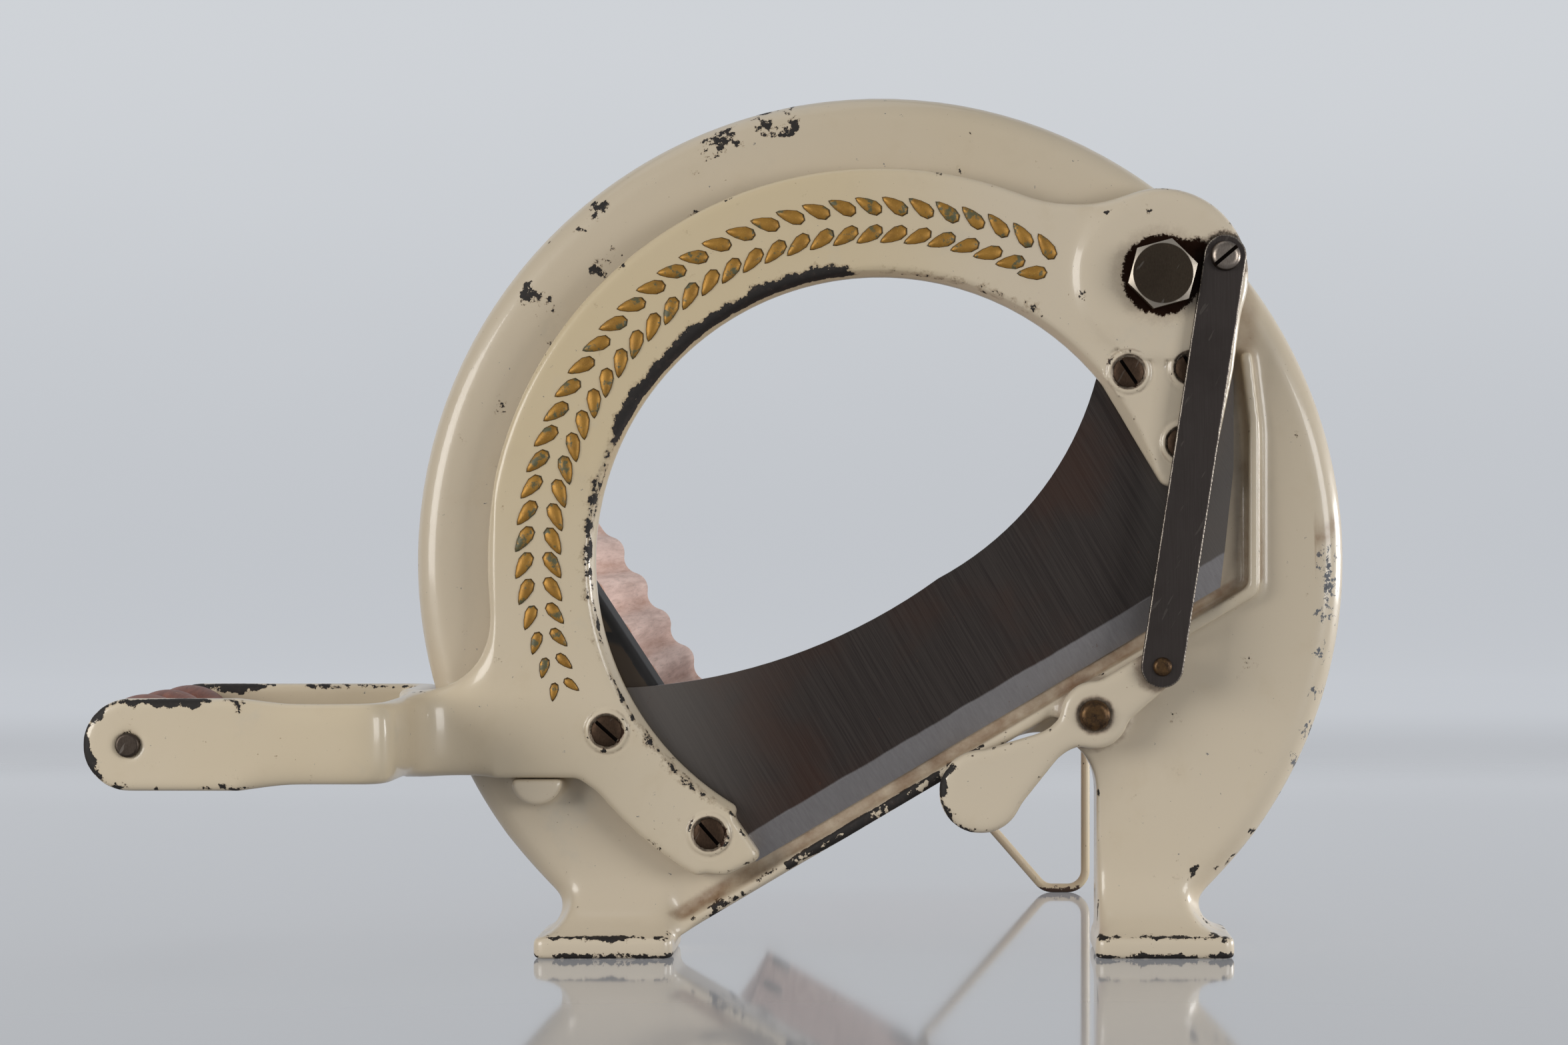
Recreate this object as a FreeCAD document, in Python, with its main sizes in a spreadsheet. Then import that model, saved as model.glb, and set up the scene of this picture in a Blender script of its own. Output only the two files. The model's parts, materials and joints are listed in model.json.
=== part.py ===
import FreeCAD, Part
import math
import os
from types import SimpleNamespace

# Bread slicer: a ring-shaped arm carries a blade down past a cast frame.
# Design frame: x from the ring's centre line, y from the arm's front face
# towards the back, z up from the floor. Every finished piece is then moved
# by ORIGIN_X and ORIGIN_Y, which centre the whole slicer over its origin.

V = FreeCAD.Vector
doc = FreeCAD.newDocument("BreadSlicer")
sheet = doc.addObject("Spreadsheet::Sheet", "Sizes")

SIZES = [
    # frame casting
    ("ring_z", 121.4, "height of the ring centre above the floor"),
    ("hood_r", 144.0, "outer radius of the hood"),
    ("hood_depth", 22.0, "front to back depth of the casting"),
    ("hood_edge", 8.0, "rounding of the hood's front rim"),
    ("wall", 5.5, "thickness of the casting"),
    ("opening_r", 91.0, "radius of the bread opening"),
    ("rail_angle", 30.6, "slope of the cutting edge and rail, degrees"),
    ("side_angle", 57.0, "slope of the steep side of the trough, degrees"),
    ("edge_z", 51.1, "height of the cutting edge under the ring centre"),
    ("rail_rise", 9.0, "rail top above the lowered cutting edge"),
    ("trough_x", -39.4, "x of the corner at the bottom of the trough"),
    ("channel_width", 4.0, "groove between cutting edge and ridge"),
    ("ridge_width", 3.6, "width of the raised ridge"),
    ("ridge_height", 6.0, "ridge in front of the casting's face"),
    ("ridge_x", 117.3, "outer side of the upright ridge"),
    ("ridge_top", 186.0, "top of the upright ridge"),
    ("ridge_lean", 2.8, "inward lean of the upright ridge's top"),
    ("ridge_knee", 24.0, "length of the leaning part of the upright ridge"),
    ("gap_x", 67.0, "inner side of the right leg"),
    ("gap_r", 18.0, "rounding between rail and right leg"),
    ("foot_left", -84.4, "x of the left foot's middle"),
    ("foot_right", 87.3, "x of the right foot's middle"),
    ("foot_width", 42.6, "width of a foot plate"),
    ("foot_height", 6.6, "thickness of a foot plate"),
    ("foot_front", 5.0, "foot plate in front of the arm's face"),
    ("foot_corner", 3.5, "rounding of a foot plate's corners"),
    ("flare", 10.0, "height of the flare above a foot plate"),
    ("toe_rise", 20.0, "height of the sloping toe above a foot plate"),
    ("toe_inset", 1.5, "toe behind the foot plate's edges"),
    ("stop_x", -105.2, "x of the stop boss"),
    ("stop_r", 8.0, "radius of the stop boss"),
    ("stop_gap", 0.3, "gap between stop boss and lowered arm"),
    ("pivot_boss_r", 19.0, "radius of the frame's boss behind the main pivot"),
    # main pivot
    ("pivot_x", 86.3, "x of the main pivot"),
    ("pivot_z", 209.0, "height of the main pivot"),
    ("bolt_d", 12.0, "pivot bolt diameter"),
    ("bolt_flats", 19.0, "width across the bolt's hexagon"),
    ("bolt_head", 7.5, "height of the bolt's head"),
    ("bolt_turn", 15.5, "tilt of the hexagon, degrees"),
    ("nut_height", 10.0, "height of the pivot nut"),
    ("washer_thick", 2.0, "thickness of the flat washer"),
    ("washer_r", 12.0, "outer radius of the flat washer"),
    ("thrust_r", 15.0, "outer radius of the thrust washer"),
    ("end_play", 0.1, "play on each side of a turning piece"),
    ("run_fit", 0.08, "radial clearance of a turning fit"),
    # arm
    ("arm_thick", 9.0, "thickness of the ring arm"),
    ("arm_out_r", 120.8, "outer radius of the ring arm"),
    ("arm_in_r", 87.3, "radius of the ring's opening"),
    ("arm_draft", 2.3, "widening of the opening towards the front"),
    ("tail_out_r", 111.8, "outer radius of the lower tail"),
    ("ring_start", 38.0, "direction in which the ring begins at the upper right, degrees"),
    ("ring_end", 213.4, "direction in which the full ring ends, degrees"),
    ("tail_start", 205.0, "direction in which the lower tail begins inside the ring, degrees"),
    ("tail_end", 240.2, "direction in which the lower tail ends, degrees"),
    ("boss_r", 27.0, "radius of the arm's pivot boss"),
    ("boss_raise", 2.0, "pivot boss in front of the arm's face"),
    ("boss_blend", 45.0, "hollow between ring and pivot boss"),
    ("neck_blend", 22.0, "hollow between ring and neck"),
    ("grip_reach", 217.8, "grip axis to the ring centre line"),
    ("grip_z", 68.3, "height of the grip axis"),
    ("fork_height", 27.0, "height of the fork"),
    ("fork_gap", 96.0, "room between the fork's plates"),
    ("fork_plate", 7.0, "thickness of a fork plate"),
    ("web_x", -141.0, "right side of the fork's cross web"),
    ("web_thick", 7.5, "thickness of the cross web"),
    ("fork_corner", 9.0, "outer corner rounding of the fork"),
    ("web_blend", 14.0, "hollow between neck and cross web"),
    # grip
    ("rod_d", 6.0, "grip rod diameter"),
    ("rod_head_r", 3.6, "radius of the rod's riveted head"),
    ("rod_head", 1.2, "height of the rod's riveted head"),
    ("grip_r", 13.8, "radius of the grip's swells"),
    ("grip_waist", 10.2, "radius of the grip's grooves"),
    ("grip_play", 0.6, "gap at each end of the grip"),
    # blade
    ("blade_thick", 1.8, "thickness of the blade"),
    ("blade_gap", 0.3, "gap between blade and casting"),
    ("bevel_width", 8.4, "width of the ground bevel"),
    ("bevel_edge", 0.3, "thickness left at the cutting edge"),
    ("blade_back_r", 105.0, "blade radius behind the lower tail"),
    ("blade_back_start", 205.5, "direction in which the blade's round back begins, degrees"),
    ("blade_back_end", 238.5, "direction in which the blade's round back ends, degrees"),
    ("blade_end_x", 109.2, "x of the blade's right end"),
    ("blade_drop", 22.0, "blade's upper end below the main pivot"),
    ("screw_head_r", 4.75, "radius of a blade screw's head"),
    ("screw_head", 2.2, "height of a blade screw's head"),
    ("screw_d", 4.0, "blade screw diameter"),
    ("screw_inset", 2.3, "lower blade screws inside the middle of the tail's width"),
    ("collar_r", 6.3, "radius of the collar round a blade screw"),
    ("collar_raise", 0.8, "collar in front of the arm's face"),
    ("head_gap", 0.15, "gap round a screw head in its seat"),
    # link and paddle lever
    ("crank_r", 20.0, "main pivot to link screw"),
    ("crank_angle", 16.0, "direction from main pivot to link screw, degrees"),
    ("link_length", 126.7, "link bar between its pins"),
    ("link_angle", 261.3, "direction from link screw to rivet, degrees"),
    ("link_width", 13.0, "width of the link bar"),
    ("link_thick", 3.0, "thickness of the link bar"),
    ("link_gap", 0.4, "gap between link bar and what it passes"),
    ("link_pin_d", 6.0, "link screw diameter"),
    ("link_head_r", 4.6, "radius of the link screw's head"),
    ("link_head", 2.8, "height of the link screw's head"),
    ("rivet_d", 4.0, "rivet diameter"),
    ("rivet_head_r", 2.9, "radius of the rivet's head"),
    ("rivet_head", 1.6, "height of the rivet's head"),
    ("rivet_room", 1.2, "clearance round the rivet in the lever's lug"),
    ("rivet_washer_r", 4.6, "radius of the washer behind the lug"),
    ("small_washer", 1.0, "thickness of the small washers"),
    ("lever_x", 65.9, "x of the lever's pin"),
    ("lever_z", 74.3, "height of the lever's pin"),
    ("lever_thick", 5.0, "thickness of the lever"),
    ("lever_hub_r", 10.6, "radius of the lever's hub"),
    ("lever_lug_r", 6.5, "radius of the lever's lug at the rivet"),
    ("lever_neck", 8.0, "width of the lever's neck"),
    ("lever_waist", 14.0, "distance from lever pin to the neck's narrow part"),
    ("paddle_length", 42.0, "length from lever pin to the middle of the paddle"),
    ("paddle_angle", 214.0, "direction from lever pin to paddle, degrees"),
    ("paddle_r", 13.0, "radius of the paddle"),
    ("pin_d", 6.0, "lever pin diameter"),
    ("pin_head_r", 4.75, "radius of the lever pin's head"),
    ("pin_head", 2.6, "height of the lever pin's head"),
    ("pin_washer_r", 6.5, "radius of the washer behind the frame"),
    # trough
    ("board_length", 172.0, "length of the boards, front to back"),
    ("board_gap", 0.2, "gap between casting and boards"),
    ("board_thick", 12.0, "thickness of a board over its ribs"),
    ("rib_pitch", 15.5, "pitch of the ribs"),
    ("rib_height", 3.0, "height of the ribs"),
    ("side_ribs", 7.0, "number of ribs on the side board"),
    ("base_ribs", 8.0, "number of ribs on the base board"),
    ("land", 4.0, "flat land beside the ribs"),
    ("lug_reach", 26.0, "frame lug behind the casting"),
    ("lug_width", 15.0, "width of a frame lug"),
    ("lug_thick", 4.4, "thickness of a frame lug"),
    ("rail_lug_low", 30.0, "trough corner to the lower lug along the rail"),
    ("rail_lug_high", 96.0, "trough corner to the upper lug along the rail"),
    ("side_lug_low", 36.0, "trough corner to the lower lug up the steep side"),
    ("side_lug_high", 88.0, "trough corner to the upper lug up the steep side"),
    ("wood_screw_d", 3.6, "wood screw diameter"),
    ("wood_screw_head_r", 3.6, "radius of a wood screw's head"),
    ("wood_screw_head", 2.2, "height of a wood screw's head"),
    ("wood_screw_bite", 7.5, "length of a wood screw inside the wood"),
    ("corner_bite", 14.0, "length of a corner screw inside the side board"),
    # wire foot
    ("wire_d", 3.2, "diameter of the wire foot"),
    ("wire_inset", 5.0, "wire foot in front of the boards' rear end"),
    ("wire_left_x", 12.0, "x of the left branch under the board"),
    ("wire_toe_x", 56.6, "x of the loop's left corner on the floor"),
    ("wire_right_x", 71.5, "x of the upright branch"),
    ("wire_run", 34.0, "length of each branch's end under the board"),
    ("wire_bend", 6.5, "bending radius of the wire"),
    ("saddle_thick", 1.5, "thickness of a saddle"),
    ("saddle_width", 12.0, "width of a saddle along the wire"),
    ("saddle_span", 11.0, "middle of a saddle to its ends"),
    ("saddle_room", 0.05, "gap between a saddle and the wire"),
    ("saddle_screw_d", 3.0, "saddle screw diameter"),
    ("saddle_head_r", 2.7, "radius of a saddle screw's head"),
    ("saddle_head", 1.6, "height of a saddle screw's head"),
    ("saddle_bite", 7.0, "length of a saddle screw inside the wood"),
]

for row, (name, value, note) in enumerate(SIZES, start=1):
    sheet.set(f"A{row}", name)
    sheet.set(f"B{row}", str(value))
    sheet.set(f"C{row}", note)
    sheet.setAlias(f"B{row}", name)
doc.recompute()
S = SimpleNamespace(**{name: float(sheet.get(name)) for name, _, _ in SIZES})

# Places along y as expressions over the sheet, from front to back.
FACE = "(Sizes.arm_thick + Sizes.blade_thick + Sizes.blade_gap)"
BACK = f"({FACE} + Sizes.hood_depth)"
LINK_FRONT = "(-Sizes.boss_raise - Sizes.link_gap - Sizes.link_thick)"
LEVER_FRONT = "(-Sizes.boss_raise)"
LEVER_BACK = "(Sizes.lever_thick - Sizes.boss_raise)"
BOARD_FRONT = f"({BACK} + Sizes.board_gap)"
BOARD_BACK = f"({BOARD_FRONT} + Sizes.board_length)"
WIRE_PLANE = f"({BOARD_BACK} - Sizes.wire_inset)"
FORK_FRONT = "(-Sizes.fork_gap / 2 - Sizes.fork_plate)"
ORIGIN_X = "((Sizes.grip_reach + Sizes.grip_r - Sizes.hood_r) / 2)"
ORIGIN_Y = f"(-({FORK_FRONT} - Sizes.rod_head + {BOARD_BACK}) / 2)"

FRONT = FreeCAD.Rotation(V(1, 0, 0), 90)
ALONG_Y = FreeCAD.Rotation(V(1, 0, 0), -90)
NODES = {}


def number(expression):
    """The value of an expression over the sheet."""
    return float(sheet.evalExpression(expression))


def bind(obj, prop, value):
    """Tie a property to an expression over the sheet, or to a worked-out value."""
    obj.setExpression(prop, value if isinstance(value, str) else repr(float(value)))


def place(obj, x=0.0, y=0.0, z=0.0, turn=None):
    if turn is not None:
        obj.Placement = FreeCAD.Placement(V(0, 0, 0), turn)
    for axis, value in zip("xyz", (x, y, z)):
        bind(obj, "Placement.Base." + axis, value)
    return obj


def node(name, obj, x="0", y="0", z="0"):
    """Name a finished piece and move it into the centred frame."""
    obj.Label = name
    place(obj, f"{ORIGIN_X} + {x}", f"{ORIGIN_Y} + {y}", z)
    NODES[name] = obj
    return obj


# ---- outlines ------------------------------------------------------------

def rounded(corners):
    """Closed outline of lines and tangent arcs through corners (x, z, radius)."""
    count = len(corners)
    joints = []
    for i, (x, z, radius) in enumerate(corners):
        here = V(x, z, 0)
        before = V(*corners[i - 1][:2], 0)
        after = V(*corners[(i + 1) % count][:2], 0)
        back = (before - here).normalize()
        ahead = (after - here).normalize()
        half = back.getAngle(ahead) / 2
        if radius == 0 or abs(half - math.pi / 2) < 1e-6:
            joints.append((here, None, here))
            continue
        reach = radius / math.tan(half)
        middle = (back + ahead).normalize()
        deep = here + middle * (radius / math.sin(half) - radius)
        joints.append((here + back * reach, deep, here + ahead * reach))
    edges = []
    for i, (start, deep, end) in enumerate(joints):
        if deep is not None:
            edges.append(Part.Arc(start, deep, end))
        following = joints[(i + 1) % count][0]
        if (following - end).Length > 1e-6:
            edges.append(Part.LineSegment(end, following))
    return edges


def polar(radius, degrees, x=0.0, z=0.0):
    angle = math.radians(degrees)
    return V(x + radius * math.cos(angle), z + radius * math.sin(angle), 0)


def arc(radius, start, end, x=0.0, z=0.0):
    """An arc from one direction to another, in degrees, either way round."""
    return Part.Arc(polar(radius, start, x, z), polar(radius, (start + end) / 2, x, z),
                    polar(radius, end, x, z))


def sector(inner, outer, start, end, z):
    """Part of a flat ring between two directions."""
    return [
        arc(inner, start, end, 0, z),
        Part.LineSegment(polar(inner, end, 0, z), polar(outer, end, 0, z)),
        arc(outer, end, start, 0, z),
        Part.LineSegment(polar(outer, start, 0, z), polar(inner, start, 0, z)),
    ]


def chain(points):
    return [Part.LineSegment(a, b) for a, b in zip(points, points[1:])]


RAIL = math.radians(S.rail_angle)
SIDE = math.radians(S.side_angle)
TROUGH = V(S.trough_x,
           S.edge_z + S.rail_rise / math.cos(RAIL) + S.trough_x * math.tan(RAIL), 0)


def rail(u, v):
    """A point u along the rail from the trough's corner and v above it."""
    return TROUGH + V(math.cos(RAIL), math.sin(RAIL), 0) * u \
        + V(-math.sin(RAIL), math.cos(RAIL), 0) * v


def side(u, v):
    """A point u up the steep side from the trough's corner and v inside it."""
    return TROUGH + V(-math.cos(SIDE), math.sin(SIDE), 0) * u \
        + V(math.sin(SIDE), math.cos(SIDE), 0) * v


def rail_u(x, v):
    """How far along the rail the line at height v reaches the given x."""
    return (x - rail(0, v).x) / math.cos(RAIL)


# ---- solids --------------------------------------------------------------

def slab(name, edges, front, depth):
    """An outline in the front plane, extruded towards the back."""
    sketch = doc.addObject("Sketcher::SketchObject", name + "Outline")
    sketch.addGeometry(edges, False)
    place(sketch, y=front, turn=FRONT)
    solid = doc.addObject("Part::Extrusion", name)
    solid.Base = sketch
    solid.DirMode = "Custom"
    solid.Dir = V(0, 1, 0)
    solid.Solid = True
    bind(solid, "LengthFwd", depth)
    return solid


def barrel(name, radius, length, x, y, z):
    """A cylinder along y."""
    solid = doc.addObject("Part::Cylinder", name)
    bind(solid, "Radius", radius)
    bind(solid, "Height", length)
    return place(solid, x, y, z, ALONG_Y)


def block(name, length, width, height, x, y, z):
    solid = doc.addObject("Part::Box", name)
    bind(solid, "Length", length)
    bind(solid, "Width", width)
    bind(solid, "Height", height)
    return place(solid, x, y, z)


def join(name, pieces):
    fusion = doc.addObject("Part::MultiFuse", name)
    fusion.Shapes = pieces
    fusion.Refine = True
    return fusion


def cut(name, base, tools):
    result = doc.addObject("Part::Cut", name)
    result.Base = base
    result.Tool = tools[0] if len(tools) == 1 else join(name + "Tools", tools)
    result.Refine = True
    return result


def common(name, first, second):
    result = doc.addObject("Part::Common", name)
    result.Base = first
    result.Tool = second
    return result


def turned(name, corners):
    """A body turned about its own y axis from corners (radius, y, rounding)."""
    body = doc.addObject("PartDesign::Body", name)
    sketch = body.newObject("Sketcher::SketchObject", name + "Profile")
    planes = {feature.Role: feature for feature in body.Origin.OriginFeatures}
    sketch.AttachmentSupport = [(planes["XY_Plane"], "")]
    sketch.MapMode = "FlatFace"
    sketch.addGeometry(rounded(corners), False)
    spin = body.newObject("PartDesign::Revolution", name + "Turn")
    spin.Profile = sketch
    spin.ReferenceAxis = (sketch, ["V_Axis"])
    spin.Angle = 360
    body.Tip = spin
    return body


def padded(name, outlines, front, depth):
    """A flat body padded from an outline in the front plane, with its holes."""
    body = doc.addObject("PartDesign::Body", name)
    sketch = body.newObject("Sketcher::SketchObject", name + "Profile")
    planes = {feature.Role: feature for feature in body.Origin.OriginFeatures}
    sketch.AttachmentSupport = [(planes["XZ_Plane"], "")]
    sketch.MapMode = "FlatFace"
    bind(sketch, "AttachmentOffset.Base.z", f"-{front}")
    for edges in outlines:
        sketch.addGeometry(edges, False)
    pad = body.newObject("PartDesign::Pad", name + "Pad")
    pad.Profile = sketch
    pad.Reversed = True
    bind(pad, "Length", depth)
    body.Tip = pad
    return body


def hole(x, z, radius):
    return [Part.Circle(V(x, z, 0), V(0, 0, 1), radius)]


# ---- places that several pieces share ------------------------------------

PIVOT = V(S.pivot_x, S.pivot_z, 0)
CRANK = PIVOT + polar(S.crank_r, S.crank_angle)
LEVER = V(S.lever_x, S.lever_z, 0)


def meeting(first, first_r, second, second_r, left):
    """Where two circles meet, on the left or right of the line between them."""
    line = second - first
    gap = line.Length
    along = (first_r ** 2 - second_r ** 2 + gap ** 2) / (2 * gap)
    aside = math.sqrt(first_r ** 2 - along ** 2)
    normal = V(-line.y, line.x, 0) / gap
    return first + line * (along / gap) + normal * (aside if left else -aside)


RIVET = CRANK + polar(S.link_length, S.link_angle)
PADDLE = LEVER + polar(S.paddle_length, S.paddle_angle)
RING = V(0, S.ring_z, 0)

# The blade's screws: two in the lower tail, three in the upper one.
TAIL_SCREW_R = (S.arm_in_r + S.arm_draft + S.tail_out_r) / 2 - S.screw_inset
TAIL_SCREW_ANGLES = (211.9, 238.0)
UPPER_SCREWS = ((-10.0, -29.6), (9.0, -28.4), (6.5, -51.4))
BLADE_SCREWS = [RING + polar(TAIL_SCREW_R, angle) for angle in TAIL_SCREW_ANGLES] \
    + [PIVOT + V(across, up, 0) for across, up in UPPER_SCREWS]

LOW_V = -S.rail_rise - S.channel_width - S.ridge_width
LUG_V = -S.board_thick - S.board_gap - S.lug_thick
FACE_Y = number(FACE)
BACK_Y = number(BACK)
GRIP_BOTTOM = S.grip_z - S.fork_height / 2
GRIP_TOP = S.grip_z + S.fork_height / 2


# ---- frame casting -------------------------------------------------------

def hood():
    """The round channel of the casting, open at the back."""
    inner_edge = S.hood_edge - S.wall
    profile = doc.addObject("Sketcher::SketchObject", "HoodProfile")
    profile.addGeometry(rounded([
        (S.opening_r, FACE_Y, 0),
        (S.hood_r, FACE_Y, S.hood_edge),
        (S.hood_r, BACK_Y, 0),
        (S.hood_r - S.wall, BACK_Y, 0),
        (S.hood_r - S.wall, FACE_Y + S.wall, inner_edge),
        (S.opening_r + S.wall, FACE_Y + S.wall, 0),
        (S.opening_r + S.wall, BACK_Y, 0),
        (S.opening_r, BACK_Y, 0)]), False)
    place(profile, z="Sizes.ring_z")
    solid = doc.addObject("Part::Revolution", "Hood")
    solid.Source = profile
    solid.Axis = V(0, 1, 0)
    bind(solid, "Base.z", "Sizes.ring_z")
    solid.Angle = 360
    solid.Solid = True
    return solid


def gap_outline(grow):
    """The open space under the rail, between the left foot and the right leg."""
    left = S.foot_left + S.foot_width / 2 - grow
    right = S.gap_x + grow
    low = LOW_V + grow
    return rounded([
        (left, rail(rail_u(left, low), low).y, 0),
        (left, -S.hood_r, 0),
        (right, -S.hood_r, 0),
        (right, rail(rail_u(right, low), low).y, S.gap_r + grow)])


def within_hood(name, solid, depth):
    """Keep what lies behind the hood's flat front."""
    disc = barrel(name + "Disc", "Sizes.hood_r - Sizes.hood_edge", depth, 0, FACE, "Sizes.ring_z")
    return common(name, solid, disc)


def apron():
    """The casting's skin below the trough's two sides."""
    far_side = side(S.opening_r + S.hood_edge + S.wall, 0)
    far_rail = rail(rail_u(S.hood_r, 0), 0)
    outline = rounded([
        (far_side.x, far_side.y, 0), (TROUGH.x, TROUGH.y, 1.5), (far_rail.x, far_rail.y, 0),
        (S.hood_r, 0, 0), (-S.hood_r, 0, 0)])
    return within_hood("Apron", slab("ApronSkin", outline, FACE, "Sizes.wall"), "Sizes.wall")


def trough_ribs():
    """Walls behind the opening's two straight sides."""
    rail_end = rail_u(S.opening_r, 0)
    side_end = S.opening_r + S.wall
    pieces = []
    for name, line, end in (("RailRib", rail, rail_end), ("SideRib", side, side_end)):
        corners = [line(0, 0), line(end, 0), line(end, -S.wall), line(-S.wall, -S.wall)]
        pieces.append(slab(name, chain(corners + corners[:1]), FACE, "Sizes.hood_depth"))
    return pieces


def ridge():
    """The raised lip in front of the rail, turning up beside the blade's end."""
    lean = S.ridge_lean
    inner_v = LOW_V + S.ridge_width
    inner_x = S.ridge_x - S.ridge_width
    start = S.foot_left + S.foot_width / 2
    knee = S.ridge_top - S.ridge_knee
    outline = rounded([
        (start, rail(rail_u(start, LOW_V), LOW_V).y, 0),
        (S.ridge_x, rail(rail_u(S.ridge_x, LOW_V), LOW_V).y, 6.0),
        (S.ridge_x, knee, 60.0),
        (S.ridge_x - lean, S.ridge_top, 1.6),
        (inner_x - lean, S.ridge_top, 1.6),
        (inner_x, knee, 60.0 - S.ridge_width),
        (inner_x, rail(rail_u(inner_x, inner_v), inner_v).y, 3.0),
        (start, rail(rail_u(start, inner_v), inner_v).y, 0)])
    return slab("Ridge", outline, f"{FACE} - Sizes.ridge_height", "Sizes.ridge_height + Sizes.wall / 2")


def foot(name, middle, outward):
    """A foot plate with its flare to the leg and its sloping toe."""
    centre = f"Sizes.{middle}"
    outer = getattr(S, middle) + outward * S.foot_width / 2
    depth = f"({BACK} + Sizes.foot_front + Sizes.foot_corner)"
    body = doc.addObject("PartDesign::Body", name + "Plate")
    sketch = body.newObject("Sketcher::SketchObject", name + "PlateOutline")
    planes = {feature.Role: feature for feature in body.Origin.OriginFeatures}
    sketch.AttachmentSupport = [(planes["XY_Plane"], "")]
    sketch.MapMode = "FlatFace"
    half, back = S.foot_width / 2, number(depth)
    sketch.addGeometry(rounded([(-half, 0, S.foot_corner), (half, 0, S.foot_corner),
                                (half, back, S.foot_corner), (-half, back, S.foot_corner)]), False)
    pad = body.newObject("PartDesign::Pad", name + "PlatePad")
    pad.Profile = sketch
    bind(pad, "Length", "Sizes.foot_height")
    body.Tip = pad
    doc.recompute()
    faces = body.Shape.Faces
    top = max(range(len(faces)), key=lambda i: faces[i].CenterOfMass.z)
    edge = body.newObject("PartDesign::Fillet", name + "PlateEdge")
    edge.Base = (pad, [f"Face{top + 1}"])
    bind(edge, "Radius", "Sizes.foot_height / 4")
    body.Tip = edge
    place(body, centre, "-Sizes.foot_front", 0)

    low, high = S.foot_height - 1.0, S.foot_height + S.flare
    leg = outward * math.sqrt(S.hood_r ** 2 - (S.ring_z - high) ** 2)
    toe = outer - outward * 1.5
    inside = leg - outward * (S.flare + 4.0)
    hollow = V(0.7 * leg + 0.3 * toe, 0.7 * S.foot_height + 0.3 * high, 0)
    corners = [V(toe, S.foot_height, 0), V(toe, low, 0), V(inside, low, 0), V(inside, high, 0),
               V(leg, high, 0)]
    outline = [Part.Arc(corners[-1], hollow, corners[0])] + chain(corners)
    flare = slab(name + "Flare", outline, f"{FACE} + Sizes.hood_edge / 2",
                 "Sizes.hood_depth - Sizes.hood_edge / 2")

    front = -S.foot_front + S.toe_inset
    top = S.foot_height + S.toe_rise
    inner = FACE_Y + S.hood_edge / 2 + 0.5
    deep = FACE_Y - front
    sweep = (deep ** 2 + S.toe_rise ** 2) / (2 * deep)
    turn = math.degrees(math.atan2(S.toe_rise, sweep - deep))
    corners = [V(front, S.foot_height, 0), V(front, low, 0), V(inner, low, 0), V(inner, top, 0),
               V(FACE_Y, top, 0)]
    profile = doc.addObject("Sketcher::SketchObject", name + "ToeProfile")
    profile.addGeometry([arc(sweep, 0, -turn, FACE_Y - sweep, top)] + chain(corners), False)
    place(profile, f"{centre} - Sizes.foot_width / 2", 0, 0, FreeCAD.Rotation(V(1, 1, 1), 120))
    slope = doc.addObject("Part::Extrusion", name + "ToeSlope")
    slope.Base = profile
    slope.DirMode = "Custom"
    slope.Dir = V(1, 0, 0)
    slope.Solid = True
    bind(slope, "LengthFwd", "Sizes.foot_width")

    # Seen from the front, the toe follows the leg's hollow a little inside it.
    flat = outward * math.sqrt((S.hood_r - S.hood_edge) ** 2 - (S.ring_z - top) ** 2)
    inset = outward * S.toe_inset
    inside = outer - outward * S.foot_width + inset
    corners = [V(outer - 2 * inset, S.foot_height, 0), V(outer - 2 * inset, low, 0),
               V(inside, low, 0), V(inside, top, 0), V(flat, top, 0)]
    outline = [Part.Arc(corners[-1], V(leg - 2 * inset, high - 1.0, 0), corners[0])] + chain(corners)
    limit = slab(name + "ToeOutline", outline, "-Sizes.foot_front - 1", f"{FACE} + Sizes.foot_front + 6")
    return [body, flare, common(name + "Toe", slope, limit)]


LUGS = [("RailLug", rail, S.rail_lug_low), ("RailLug", rail, S.rail_lug_high),
        ("SideLug", side, S.side_lug_low), ("SideLug", side, S.side_lug_high)]


def lugs():
    """Flat tongues behind the casting that carry the boards."""
    pieces = []
    for i, (name, line, u) in enumerate(LUGS):
        half = S.lug_width / 2
        corners = [line(u - half, LUG_V), line(u + half, LUG_V),
                   line(u + half, LUG_V + S.lug_thick), line(u - half, LUG_V + S.lug_thick)]
        pieces.append(slab(f"{name}{i}", chain(corners + corners[:1]), f"{FACE} + Sizes.wall / 2",
                           "Sizes.hood_depth - Sizes.wall / 2 + Sizes.lug_reach"))
    return pieces


def stop_boss():
    """The half-round boss on which the lowered arm rests."""
    top = GRIP_BOTTOM - S.stop_gap
    outline = [arc(S.stop_r, 180, 360, S.stop_x, top),
               Part.LineSegment(V(S.stop_x + S.stop_r, top, 0), V(S.stop_x - S.stop_r, top, 0))]
    return slab("StopBoss", outline, 0.5, f"{FACE} + Sizes.wall / 2 - 0.5")


def lug_screw_holes():
    return [screw_in_board(f"LugHole{i}", "Sizes.wood_screw_d / 2", line, u, LUG_V - 1.0,
                           S.lug_thick + 2.0) for i, (_, line, u) in enumerate(LUGS)]


def screw_in_board(name, radius, line, u, v, length, y=None):
    """A cylinder square to a board, from height v inwards."""
    start = line(u, v)
    ahead = line(u, v + 1.0) - start
    solid = doc.addObject("Part::Cylinder", name)
    bind(solid, "Radius", radius)
    bind(solid, "Height", length)
    turn = FreeCAD.Rotation(V(0, 0, 1), V(ahead.x, 0, ahead.y))
    return place(solid, start.x, y or LUG_SCREW_Y, start.y, turn)


LUG_SCREW_Y = f"({BACK} + Sizes.lug_reach / 2 + 2)"


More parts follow.
